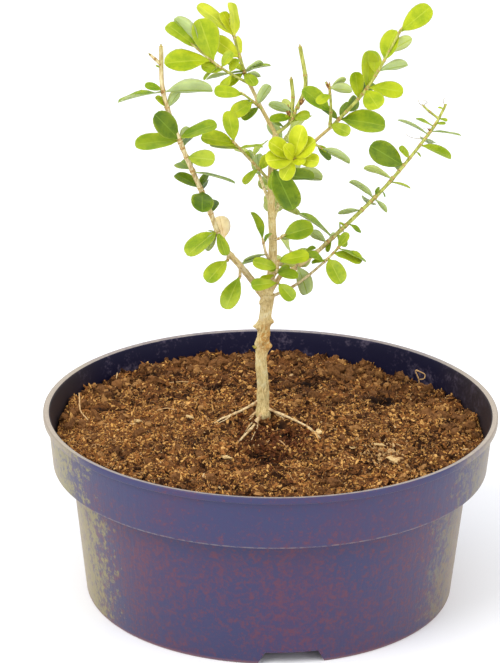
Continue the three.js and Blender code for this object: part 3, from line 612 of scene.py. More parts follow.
crumb_random = np.random.default_rng(CRUMB_SEED)
for name, count, sizes, dark, light, shunned in CRUMB_KINDS:
    turn = crumb_random.uniform(0, 2 * math.pi, count)
    reach = SOIL_RADIUS * np.sqrt(crumb_random.uniform(0, 1, count))
    size = random_sizes(sizes, count, CRUMB_FINENESS)
    places = ring_places((0, 0), reach, turn)
    # Light crumbs shun the pits, the back under the wall and the hollows, and dark crumbs shun the lumps and
    # the pressed patch: painted shade in the pits, hollows and back, and painted light on the lump tops.
    lumps = np.array([lump_share(*place) for place in places.T])
    shares = (pit_share(*places), even_share(places[1], *SHADED_BACK), pressed_share(*places),
              (-lumps).clip(0, 1), lumps.clip(0, 1))
    kept = crumb_random.uniform(0, 1, count) > sum(chance * share for chance, share in zip(shunned, shares))
    scatter(name, places[:, kept], size[kept], dark, light, **CRUMB_MAKE)
# Reddish damp crumbs in front of the trunk, made dark also as painted shade there.
places = patch_places(SHADED_DAMP_SPOT, SHADED_DAMP_REACH, SHADED_DAMP_CRUMBS)
size = random_sizes(SHADED_DAMP_SIZES, SHADED_DAMP_CRUMBS, CRUMB_FINENESS)
scatter("crumbs_red", places, size, srgb(30, 15, 7), srgb(108, 60, 29), **CRUMB_MAKE)
for name, count, sizes, dark, light in CLOD_KINDS:
    behind = crumb_random.uniform(0, 1, count) < CLODS_BACK
    back_turn = crumb_random.uniform(0, math.pi, count)
    turn = np.where(behind, back_turn, crumb_random.uniform(0, 2 * math.pi, count))
    share = crumb_random.uniform(0, 1, count)
    reach = np.where(behind, lerp(CLODS_BACK_RING, share), SOIL_RADIUS * np.sqrt(share))
    size = random_sizes(sizes, count, CLOD_FINENESS)
    places = ring_places((0, 0), reach, turn)
    # Clods are kept out of the pits, so the pits keep their painted shade.
    dry = pit_share(*places) < CLODS_PIT_LIMIT
    scatter(name, places[:, dry], size[dry], dark, light, **CLOD_MAKE)

FIBRE_SEED = 19
FIBRE_KINDS = [
    ("fibres_brown", 1100, (1.5, 8), (0.10, 0.26), srgb(74, 44, 22), srgb(134, 88, 48)),
    ("fibres_pale", 650, (1.5, 7), (0.07, 0.2), srgb(144, 102, 60), srgb(206, 164, 110)),
]
FIBRE_SIDES = 4
FIBRE_CURL = 0.5
FIBRE_LIFT = (0.1, 0.7)
FIBRE_WAVER = (-0.3, 0.5)
FIBRE_TAPER = np.array((0.6, 1, 1.1, 1, 0.9, 0.5))
LOOSE_STEP = 0.6
LOOSE_SIDES = 6
LOOSE_WAVER = 0.4
LOOSE_FINENESS = 14
LOOSE_PHASES = 9
LOOSE_LAYER = 3
DEPTHWISE = 0.9
LOOSE_FIBRES = [
    ("fibre_left", [(-99, 29, 7), (-98.5, 24, 4), (-97.5, 16, 2), (-93, 5, 1.2)], (0.4, 0.45)),
    ("fibre_right", [(79.5, 62, -1), (79, 62, 6), (77, 62, 10.5), (79.7, 62, 11.2), (82, 62, 10.5),
                     (81.6, 61.5, 8), (79, 61, 6)], (0.45, 0.3)),
    ("fibre_back_left", [(-53, 52, 0.6), (-45, 55, 1.4), (-37, 56, 0.8)], (0.35, 0.25)),
    ("fibre_mid_left", [(-58, 14, 0.6), (-53, 15, 1.4), (-49, 13, 0.6)], (0.3, 0.2)),
    ("rootlet_red", [(3, -25, 1.2), (6, -31, 1.0), (10, -38, 0.4)], (0.4, 0.3)),
]
CHIPS = [
    ("chip_right_upper", (54, -26), 5.0, 2.6, 20),
    ("chip_right_lower", (61, -40), 6.0, 4.2, -35),
    ("chip_right_small", (41, -31), 3.6, 2.0, 40),
    ("chip_root", (24, -15), 3.2, 2.8, -60),
    ("chip_left", (-67, 0), 4.0, 3.2, 60),
    ("chip_mid_left", (-41, 2), 3.6, 2.6, 10),
    ("chip_front_left", (-22, -47), 4.2, 3.4, 30),
]
CHIP_THICKNESS = 0.7
CHIP_LEAN = 14
CHIP_LIFT = 0.9
CHIP_RAGGED = (0.35, 0.5, 0.5)
CHIP_FINENESS = 1.8
DRY_SPOT = (57, -32)
DRY_REACH = (6, 7)
DRY_CRUMBS = 130
DRY_SIZES = (0.4, 1.3)
FOOT_CRUMBS = 190
FOOT_RING = (3.6, 8.0)
FOOT_SIZES = (0.5, 1.4)
PATCH_FINENESS = 2


def squared_to(vector, way):
    """The part of a vector that is square to a direction, at length one."""
    return unit_vectors(vector - way * np.dot(vector, way))


def noise_along(shares, fineness, phase, layer):
    return np.array([noise.noise((share * fineness, phase, layer)) for share in shares])


def tube(centres, radii, sides):
    """A tube round a line of points, closed at both ends. Its radii are one to a ring or one to each corner.
    Its corners count from the front, towards +X on an upright tube."""
    ahead = unit_vectors(np.gradient(centres, axis=0))
    side = np.array((0.0, -1.0, 0.0)) if abs(ahead[0][1]) < DEPTHWISE else np.array((1.0, 0.0, 0.0))
    sideways = np.zeros_like(centres)
    for ring, way in enumerate(ahead):
        side = squared_to(side, way)
        sideways[ring] = side
    onwards = np.cross(ahead, sideways)
    angles = np.arange(sides) * 2 * math.pi / sides
    spokes = np.cos(angles)[:, None] * sideways[:, None] + np.sin(angles)[:, None] * onwards[:, None]
    radii = np.broadcast_to(np.reshape(radii, (len(centres), -1)), (len(centres), sides))
    rings = centres[:, None] + spokes * radii[..., None]
    points = np.concatenate([rings.reshape(-1, 3), centres[:1], centres[-1:]])
    here = np.arange(sides)
    after = (here + 1) % sides
    first = np.full(sides, len(centres) * sides)
    top = (len(centres) - 1) * sides
    triangles = [np.stack([first, after, here], axis=1)]
    for low in range(0, top, sides):
        high = low + sides
        triangles.append(np.stack([low + here, low + after, high + after], axis=1))
        triangles.append(np.stack([low + here, high + after, high + here], axis=1))
    triangles.append(np.stack([first + 1, top + here, top + after], axis=1))
    return points, np.concatenate(triangles)


class Heap:
    """Points and triangles of many small pieces, gathered into one mesh."""

    def __init__(self):
        self.points = []
        self.triangles = []
        self.slots = []
        self.count = 0

    def add(self, points, triangles, slots=0):
        self.points.append(points)
        self.triangles.append(triangles + self.count)
        self.slots.append(np.broadcast_to(slots, len(triangles)))
        self.count += len(points)

    def piece(self, name, *materials):
        parts = (self.points, self.triangles, self.slots)
        piece = joined_mesh(name, *(np.concatenate(part) for part in parts))
        for material in materials:
            piece.data.materials.append(material)
        piece.data.shade_smooth()
        return piece


class Course:
    """A smooth line through the points of a course, in millimetres, measured along its length."""

    DIVISIONS = 200
    NUDGE = 1e-4

    def __init__(self, points):
        self.points = np.array(points, float)
        places = np.array([self.place(step / self.DIVISIONS) for step in range(self.DIVISIONS + 1)])
        steps = np.linalg.norm(np.diff(places, axis=0), axis=1)
        self.reached = np.concatenate([[0], np.cumsum(steps)])
        self.length = self.reached[-1]

    def place(self, part):
        last = len(self.points) - 1
        index = min(int(part * last), last - 1)
        share = part * last - index
        start = self.points[index]
        end = self.points[index + 1]
        before = self.points[index - 1] if index > 0 else 2 * start - end
        after = self.points[index + 2] if index + 1 < last else 2 * end - start
        leave = (end - before) / 2
        arrive = (after - start) / 2
        square = -3 * start + 3 * end - 2 * leave - arrive
        cube = 2 * start - 2 * end + leave + arrive
        return start + share * (leave + share * (square + share * cube))

    def at(self, share):
        """The place and the direction at a share of the length."""
        part = np.interp(share * self.length, self.reached, np.linspace(0, 1, self.DIVISIONS + 1))
        behind = self.place(max(part - self.NUDGE, 0))
        ahead = self.place(min(part + self.NUDGE, 1))
        return self.place(part), unit_vectors(ahead - behind)

    def line(self, step):
        """Shares a step or so apart, and the places at them."""
        shares = np.linspace(0, 1, max(4, round(self.length / step) + 1))
        return shares, np.array([self.at(share)[0] for share in shares])


def on_peat(x, y, above):
    return (x, y, peat_height(x, y) + above)


fibre_random = np.random.default_rng(FIBRE_SEED)
for name, count, lengths, thicknesses, dark, light in FIBRE_KINDS:
    fibres = Heap()
    for _ in range(count):
        reach = (SOIL_RADIUS - lengths[1]) * math.sqrt(fibre_random.uniform())
        turn = fibre_random.uniform(0, 2 * math.pi)
        place = np.array((reach * math.cos(turn), reach * math.sin(turn)))
        heading = fibre_random.uniform(0, 2 * math.pi)
        step = lerp(lengths, fibre_random.uniform() ** 2) / (len(FIBRE_TAPER) - 1)
        lift = fibre_random.uniform(*FIBRE_LIFT)
        line = []
        for _ in FIBRE_TAPER:
            line.append(on_peat(*place, lift + fibre_random.uniform(*FIBRE_WAVER)))
            heading += fibre_random.normal() * FIBRE_CURL
            place = place + step * np.array((math.cos(heading), math.sin(heading)))
        thick = lerp(thicknesses, fibre_random.uniform())
        fibres.add(*tube(np.array(line), thick * FIBRE_TAPER, FIBRE_SIDES))
    piece = fibres.piece(name, peat_finish(name.replace("_", " "), dark, light))
    finished(piece, "peat")

loose = Heap()
for _, knots, thickness in LOOSE_FIBRES:
    shares, centres = Course([on_peat(*knot) for knot in knots]).line(LOOSE_STEP)
    waver = noise_along(shares, LOOSE_FINENESS, thickness[0] * LOOSE_PHASES, LOOSE_LAYER)
    loose.add(*tube(centres, lerp(thickness, shares) * (1 + LOOSE_WAVER * waver), LOOSE_SIDES))
loose_fibres = loose.piece("loose_fibres", peat_finish("dry fibre", srgb(150, 104, 58), srgb(216, 178, 126)))
finished(loose_fibres, "peat")

for name, (x, y), length, width, turn in CHIPS:
    bpy.ops.object.select_all(action="DESELECT")
    bpy.ops.mesh.primitive_cube_add(size=1)
    chip = bpy.context.object
    chip.name = name
    apply_modifier(chip, "SUBSURF", levels=2, render_levels=2, subdivision_type="SIMPLE")
    turned = Matrix.Rotation(math.radians(turn), 3, "Z") @ Matrix.Rotation(math.radians(CHIP_LEAN), 3, "Y")
    for vertex in chip.data.vertices:
        ragged = noise.noise(vertex.co * CHIP_FINENESS + Vector((x, y, 0)))
        vertex.co.x *= length * (1 + CHIP_RAGGED[0] * ragged)
        vertex.co.y *= width * (1 + CHIP_RAGGED[1] * ragged)
        vertex.co.z = CHIP_THICKNESS * (vertex.co.z + CHIP_RAGGED[2] * ragged)
        vertex.co = (turned @ vertex.co + Vector(on_peat(x, y, CHIP_LIFT))) * MM
    chip.data.materials.append(peat_finish(name.replace("_", " "), srgb(182, 144, 90), srgb(230, 203, 148)))
    finished(chip, "peat")

places = patch_places(DRY_SPOT, DRY_REACH, DRY_CRUMBS)
size = random_sizes(DRY_SIZES, DRY_CRUMBS, PATCH_FINENESS)
scatter("crumbs_dry", places, size, srgb(168, 128, 80), srgb(224, 190, 136), **CRUMB_MAKE)
turn = crumb_random.uniform(0, 2 * math.pi, FOOT_CRUMBS)
places = ring_places(TRUNK_FOOT, crumb_random.uniform(*FOOT_RING, FOOT_CRUMBS), turn)
size = random_sizes(FOOT_SIZES, FOOT_CRUMBS, PATCH_FINENESS)
scatter("crumbs_foot", places, size, srgb(64, 36, 17), srgb(150, 98, 50), **CRUMB_MAKE)

# Trunk and boughs: one young stem that forks in three, in pale straw bark with fine upright fissures.
# It has an orange corky patch under the fork, old leaf scars that swell it and a foot that flares and
# goes down into the peat.
TRUNK_COURSE = [(-4, 5, 90), (-4, 5, 107), (-5, 5, 120), (-4, 5, 134), (-2, 5, 156)]
TRUNK_RADIUS = (3.1, 2.9)
TRUNK_SINK = 11
FLARE_SWELL = 0.8
FLARE_LENGTH = 5
FLARE_MOST = 2.2
BUTTRESSES = 5
BUTTRESS_TURN = 0.6
BUTTRESS_SWELL = 0.07
BUTTRESS_LENGTH = 4
BUTTRESS_MOST = 1.6
FORK_SWELL = 0.8
FORK_LENGTH = 6
TRUNK_KNOBS = [
    (139, 280, 1.5, 2.2),
    (129, 285, 1.2, 2.4),
    (128, 80, 1.3, 2.6),
    (133, 0, 0.6, 4.5),
    (151, 275, 0.9, 1.4),
    (142, 70, 0.7, 1.6),
    (138.2, 283, 1.9, 1.0),
    (141.5, 80, 1.3, 1.0),
    (128.6, 76, 1.2, 1.1),
    (134.5, 40, 0.8, 1.0),
    (131, 330, 0.7, 1.2),
    (92, 30, 1.6, 3.0),
    (91, 325, 1.1, 2.6),
]
BOUGHS = [
    ("leader", (2.4, 1.5), [(-2, 5, 153), (0, 6, 171), (0, 6, 187), (-1, 5, 205), (-1, 4, 223), (1, 4, 240)]),
    ("bough_left", (1.85, 1.4),
     [(-3, 5, 153), (-10, 2, 164), (-16, -2, 173), (-22, -5, 181), (-26, -8, 189)]),
    ("bough_right", (1.3, 1.1), [(-1, 6, 156), (5, 9, 165), (13, 12, 168), (24, 16, 176)]),
    ("bough_upper_left", (1.15, 0.9), [(1, 4, 239), (-6, 10, 250), (-10, 15, 257), (-14, 18, 264)]),
    ("bough_upper_right", (0.95, 0.85), [(0, 5, 213), (10, 1, 225), (20, -4, 238), (29, -9, 248)]),
]
LIMB_SIDES = 32
LIMB_STEP = 0.8
BARK_CELL = 0.3
SCAR_SPACING = 13
SCAR_SWELL = 0.22
SCAR_REACH = 0.9
GRAIN_APART = 300
FULL_RELIEF_RADIUS = 2.6
RIDGES = (2.3, 9, 0)
RIDGE_HEIGHT = 0.26
PLATES = (4.5, 4, 30)
PLATE_HEIGHT = 0.2
FISSURES = (5, 7, 60)
FISSURE_DEPTH = 0.28
FISSURE_SHARPNESS = 6
GRIT = (9, 1.3, 90)
GRIT_HEIGHT = 0.12
HEAD_ON = 0.35


def trunk_radii(heights):
    """The trunk's radius at each height and corner, with its flare, its fork and its swollen scars."""
    flare = FLARE_SWELL * np.exp((TRUNK_COURSE[0][2] - heights) / FLARE_LENGTH)
    fork = FORK_SWELL * np.exp((heights - TRUNK_COURSE[-1][2]) / FORK_LENGTH)
    share = (heights - TRUNK_COURSE[0][2]) / (TRUNK_COURSE[-1][2] - TRUNK_COURSE[0][2])
    radii = (lerp(TRUNK_RADIUS, share.clip(0, 1)) + flare.clip(0, FLARE_MOST) + fork)[:, None]
    corners = np.arange(LIMB_SIDES) * 2 * math.pi / LIMB_SIDES
    for height, turn, swell, reach in TRUNK_KNOBS:
        rise = np.exp(-((heights - height) / reach) ** 2)[:, None]
        radii = radii + swell * rise * np.cos(corners - math.radians(turn)).clip(0, None)[None] ** 4
    buttress = np.exp((TRUNK_COURSE[0][2] - heights) / BUTTRESS_LENGTH)[:, None].clip(0, BUTTRESS_MOST)
    return radii * (1 + BUTTRESS_SWELL * buttress * np.cos(BUTTRESSES * corners + BUTTRESS_TURN)[None])


def bough_radii(radius, shares, length):
    scar = np.abs((shares * length) % SCAR_SPACING - SCAR_SPACING / 2)
    return lerp(radius, shares) + SCAR_SWELL * np.exp(-(scar / SCAR_REACH) ** 2)


limbs = Heap()
limb_axis = []
foot = TRUNK_COURSE[0]
trunk_course = Course([(foot[0], foot[1], foot[2] - TRUNK_SINK), *TRUNK_COURSE])
shares, centres = trunk_course.line(LIMB_STEP)
limbs.add(*tube(centres, trunk_radii(centres[:, 2]), LIMB_SIDES))
limb_axis.append((trunk_course, shares, centres))
for _, radius, course in BOUGHS:
    bough = Course(course)
    shares, centres = bough.line(LIMB_STEP)
    limbs.add(*tube(centres, bough_radii(radius, shares, bough.length), LIMB_SIDES // 2))
    limb_axis.append((bough, shares, centres))
trunk = limbs.piece("trunk_and_boughs")
apply_modifier(trunk, "REMESH", mode="VOXEL", voxel_size=BARK_CELL * MM)
apply_modifier(trunk, "SMOOTH", factor=0.5, iterations=5)


def stem_sides(along):
    """The two directions square to a stem: sideways as seen from the front, and the one square to that."""
    sideways = np.cross((0.0, 1.0, 0.0), along)
    if np.linalg.norm(sideways) < HEAD_ON:
        sideways = np.array((1.0, 0.0, 0.0)) - along * along[0]
    sideways = unit_vectors(sideways)
    return sideways, np.cross(along, sideways)


def grain_noise(around, arc, fineness, length, start):
    return noise.noise((fineness * around[0], fineness * around[1], arc / length + start))


def bark_relief(around, arc):
    """The bark's height, in millimetres, at a point on a unit circle round the limb and a length along it:
    ridges, flat plates, upright fissures and grit."""
    ridge = grain_noise(around, arc, *RIDGES)
    plate = grain_noise(around, arc, *PLATES)
    fissure = (1 - abs(grain_noise(around, arc, *FISSURES))) ** FISSURE_SHARPNESS
    grit = grain_noise(around, arc, *GRIT)
    return RIDGE_HEIGHT * ridge + PLATE_HEIGHT * plate - FISSURE_DEPTH * fissure + GRIT_HEIGHT * grit


axis_tree = kdtree.KDTree(sum(len(centres) for _, _, centres in limb_axis))
axis_points = []
for number, (course, shares, centres) in enumerate(limb_axis):
    for share, centre in zip(shares, centres):
        axis_tree.insert(centre, len(axis_points))
        along = course.at(share)[1]
        axis_points.append((centre, GRAIN_APART * number + share * course.length, along, *stem_sides(along)))
axis_tree.balance()

trunk.data.update()
corner_count = len(trunk.data.vertices)
skin_points = np.empty(3 * corner_count)
skin_normals = np.empty(3 * corner_count)
trunk.data.vertices.foreach_get("co", skin_points)
trunk.data.vertices.foreach_get("normal", skin_normals)
skin_points = skin_points.reshape(-1, 3) / MM
grain = np.empty((corner_count, 3))
shifts = np.empty(corner_count)
for corner, point in enumerate(skin_points):
    centre, arc, along, sideways, onwards = axis_points[axis_tree.find(point)[1]]
    offset = point - centre
    arc = arc + offset.dot(along)
    across = offset.dot(sideways)
    ahead = offset.dot(onwards)
    radius = math.hypot(across, ahead)
    grain[corner] = (across, ahead, arc)
    shifts[corner] = bark_relief((across / radius, ahead / radius), arc) * min(1, radius / FULL_RELIEF_RADIUS)
skin_points += skin_normals.reshape(-1, 3) * shifts[:, None]
trunk.data.vertices.foreach_set("co", (skin_points * MM).ravel())
trunk.data.attributes.new("grain", "FLOAT_VECTOR", "POINT").data.foreach_set("vector", (grain * MM).ravel())
trunk.data.shade_smooth()

bark = Finish("straw bark", {"Specular IOR Level": 0.25, "IOR": 1.4})
spot = bark.place()
fibre = bark.node("ShaderNodeAttribute", {"attribute_name": "grain"}, {}, "Vector")
height = bark.axis(spot, "Z")
strand = bark.noise(fibre, 0.8, detail=4, rough=0.7, stretch=(1, 1, 3.5))
crack = bark.noise(fibre, 0.55, detail=3, rough=0.7, stretch=(1, 1, 4.5))
mottle = bark.noise(spot, 5, detail=4)
fleck = bark.noise(spot, 1.3, detail=3, rough=0.7)
mossy = (mottle + fleck * 0.4).between(0.58, 0.8) * height.between(126, 108)
speck = bark.noise(fibre, 0.6, detail=3, rough=0.7, stretch=(1, 1, 2)).between(0.60, 0.70)
aloft = (height + mottle * 30).between(180, 250)
corky = height.between(122, 129) * height.between(146, 136) * bark.axis(spot, "Y").between(7.5, 4)
corky = corky * (fleck + mottle * 0.6).between(0.66, 0.84) * bark.axis(spot, "X").between(-7.2, -4.5)
wood = bark.coats(srgb(172, 142, 84), [
    (srgb(228, 206, 148), (strand * 0.7 + mottle * 0.3).between(0.32, 0.60)),
    (srgb(232, 218, 174), (mottle + fleck * 0.5).between(0.76, 0.95) * 0.8),
    (srgb(160, 154, 100), mossy * 0.3),
    (srgb(118, 98, 56), speck * 0.45),
    (srgb(168, 150, 76), aloft * 0.45),
    (srgb(184, 130, 56), corky * 0.85),
    (srgb(128, 98, 54), crack.between(0.40, 0.30) * 0.7),
])
bark.wear(
    Base_Color=wood,
    Roughness=0.72 + fleck * 0.2,
    Normal=bark.bump(strand + fleck * 0.8, 0.35),
)
trunk.data.materials.append(bark.material)
finished(trunk, "bark", "trunk", *(name for name, _, _ in BOUGHS))

# Surface roots: pale bare roots that leave the flare above the peat and run down onto it.
# They fork into thin strands, and their ends go into the peat.
ROOTS = [
    ("root_left", 292, 31, 8.5, (0.85, 0.3), -1),
    ("root_front_left", 312, 11, 4.5, (0.7, 0.35), -1),
    ("root_front", 339, 44, 1.5, (0.9, 0.35), 2),
    ("root_right", 48, 43, 4, (0.85, 0.25), 3.0),
]
ROOT_POINTS = 8
ROOT_FALL = 2.2
ROOT_CLEAR = 0.7
ROOT_SIDES = 10
ROOT_STEP = 0.5
ROOT_DIP = 1.6
ROOT_DIVE = 0.72
ROOT_BEDDED = 0.7
ROOT_KNOTS = 0.28
KNOT_FINENESS = 9
KNOT_LAYER = 5
BUMP_FINENESS = 26
BUMP_LAYER = 8
STRANDS = [
    ("root_left", 0.16, -34, 17, (0.35, 0.15)),
    ("root_left", 0.55, 24, 11, (0.35, 0.15)),
    ("root_front", 0.16, -22, 27, (0.5, 0.2)),
    ("root_front", 0.24, 16, 24, (0.45, 0.2)),
    ("root_front", 0.38, -14, 20, (0.4, 0.2)),
    ("root_front", 0.18, -60, 8, (0.3, 0.15)),
    ("root_front_left", 0.45, 38, 9, (0.35, 0.15)),
    ("root_right", 0.14, 30, 8, (0.4, 0.2)),
    ("root_right", 0.62, -20, 15, (0.35, 0.15)),
]
STRAND_PARTS = (0.3, 0.65, 1)
STRAND_BEND = 0.7
STRAND_FALL = 1.6
STRAND_SIDES = 6
STRAND_PHASE = 20


def root_course(turn, reach, rise, radius, bow):
    """A root's course: off the flare, bowed aside, down to the peat and into it."""
    ahead = (math.sin(math.radians(turn)), -math.cos(math.radians(turn)))
    course = []
    for share in np.linspace(0, 1, ROOT_POINTS):
        aside = bow * math.sin(math.pi * share)
        x = TRUNK_FOOT[0] + reach * share * ahead[0] - aside * ahead[1]
        y = TRUNK_FOOT[1] + reach * share * ahead[1] + aside * ahead[0]
        rest = mound_height(x, y) + lerp(radius, share) + ROOT_CLEAR
        ground = peat_height(x, y) + lerp(radius, share) * ROOT_BEDDED
        height = max(rest + rise * (1 - share) ** ROOT_FALL, ground)
        sunk = smooth_share(share, ROOT_DIVE, 1)
        course.append((x, y, height + (ground - ROOT_DIP - height) * sunk))
    return Course(course)


def root_radii(radius, shares, phase):
    """A root's radius along its length, with knots and finer bumps."""
    knots = noise_along(shares, KNOT_FINENESS, phase, KNOT_LAYER)
    bumps = noise_along(shares, BUMP_FINENESS, phase, BUMP_LAYER)
    return lerp(radius, shares) * (1 + ROOT_KNOTS * (knots + 0.5 * bumps))


roots = Heap()
root_lines = {}
for number, (name, turn, reach, rise, radius, bow) in enumerate(ROOTS):
    root_lines[name] = root_course(turn, reach, rise, radius, bow)
    shares, centres = root_lines[name].line(ROOT_STEP)
    roots.add(*tube(centres, root_radii(radius, shares, number), ROOT_SIDES))
for number, (carrier, share, turn, reach, radius) in enumerate(STRANDS):
    start, along = root_lines[carrier].at(share)
    heading = math.atan2(along[1], along[0]) + math.radians(turn)
    course = [tuple(start)]
    for part in STRAND_PARTS:
        bend = heading - math.radians(turn) * STRAND_BEND * part
        x = start[0] + reach * part * math.cos(bend)
        y = start[1] + reach * part * math.sin(bend)
        ground = peat_height(x, y) + radius[1]
        height = ground + (start[2] - ground) * (1 - part) ** STRAND_FALL
        course.append((x, y, height - ROOT_DIP * (part == 1)))
    shares, centres = Course(course).line(ROOT_STEP)
    roots.add(*tube(centres, root_radii(radius, shares, STRAND_PHASE + number), STRAND_SIDES))
root_skin = Finish("root skin", {"Specular IOR Level": 0.3})
spot = root_skin.place()
strand = root_skin.noise(spot, 1.2, detail=4, rough=0.65)
earthy = root_skin.noise(spot, 4.5, detail=3)
skin = root_skin.coats(srgb(180, 144, 92), [
    (srgb(222, 198, 152), strand.between(0.35, 0.62)),
    (srgb(138, 94, 52), earthy.between(0.52, 0.66) * 0.7),
])
root_skin.wear(Base_Color=skin, Roughness=0.6 + strand * 0.2, Normal=root_skin.bump(strand, 0.2))
surface_roots = roots.piece("surface_roots", root_skin.material)
finished(surface_roots, "root", *(name for name, *_ in ROOTS))

# Stems of the foliage: thin four-angled twigs that carry on from the boughs, tan at the foot and olive
# further out, with buds at their leaves and tips, dry wisps and withered bud scales. The leaves in front
# lie each in its own way, and those behind grow in flushes of opposite pairs, with some straying.
TURN_STRAY = 24
OPEN_STRAY = 20
SIZE_STRAY = 0.22
AGE_STRAY = 0.28
TWIST_STRAY = 28
LIGHT = unit_vectors(np.array((-0.3, -0.8, 0.55)))
CROWDED_TURNS = (0, 25, -25, 50, -50)
CROWDED_TILTS = (0, 12, -12, 24, -24)
VIEW_RISE = math.radians(20)
RIGHTWARDS = np.array((1, 0, 0))
TOWARDS = np.array((0, -math.cos(VIEW_RISE), math.sin(VIEW_RISE)))
UPWARDS = np.array((0, math.sin(VIEW_RISE), math.cos(VIEW_RISE)))
LEAF_SAG = 0.12
LEAF_SINK = 1
PAIR_SPIN = 90
KEPT_LEAVES = 0.95
SEEDS_APART = 100


def flush(at, pairs, roll, opening, leaf, age, seed, facing=0.4, single=False):
    """One stretch of growth on a stem: where its nodes sit (shares of the stem), its pairs of leaves, the
    turn of the first pair, the opening from the stem, the leaf length, the age (0 is fresh, 1 is dark), the
    seed, how far the leaves face the light and whether each node has one leaf, always on the same side.
    Values in brackets run from the flush's foot to its tip."""
    return dict(at=at, pairs=pairs, roll=roll, opening=opening, leaf=leaf, age=age, seed=seed, facing=facing,
                single=single)


def mass(name, thick, course, dry=False, seen=(), late=(), flushes=(), twigs=()):
    """One mass of foliage: the thickness of its stem at both ends, the stem's course, its leaves and bare
    twigs. Each seen leaf, or small late leaf between them, has its share of the stem, its clock angle (0 is
    up, 90 is right), its tilt towards the viewer, its length, the share of its face that shows (below 0 it
    shows its underside) and its age. Some leaves are given a younger, paler age as painted light, where they
    are backlit or shine."""
    return dict(name=name, thick=thick, course=course, dry=dry, seen=seen, late=late, flushes=flushes,
                twigs=twigs)


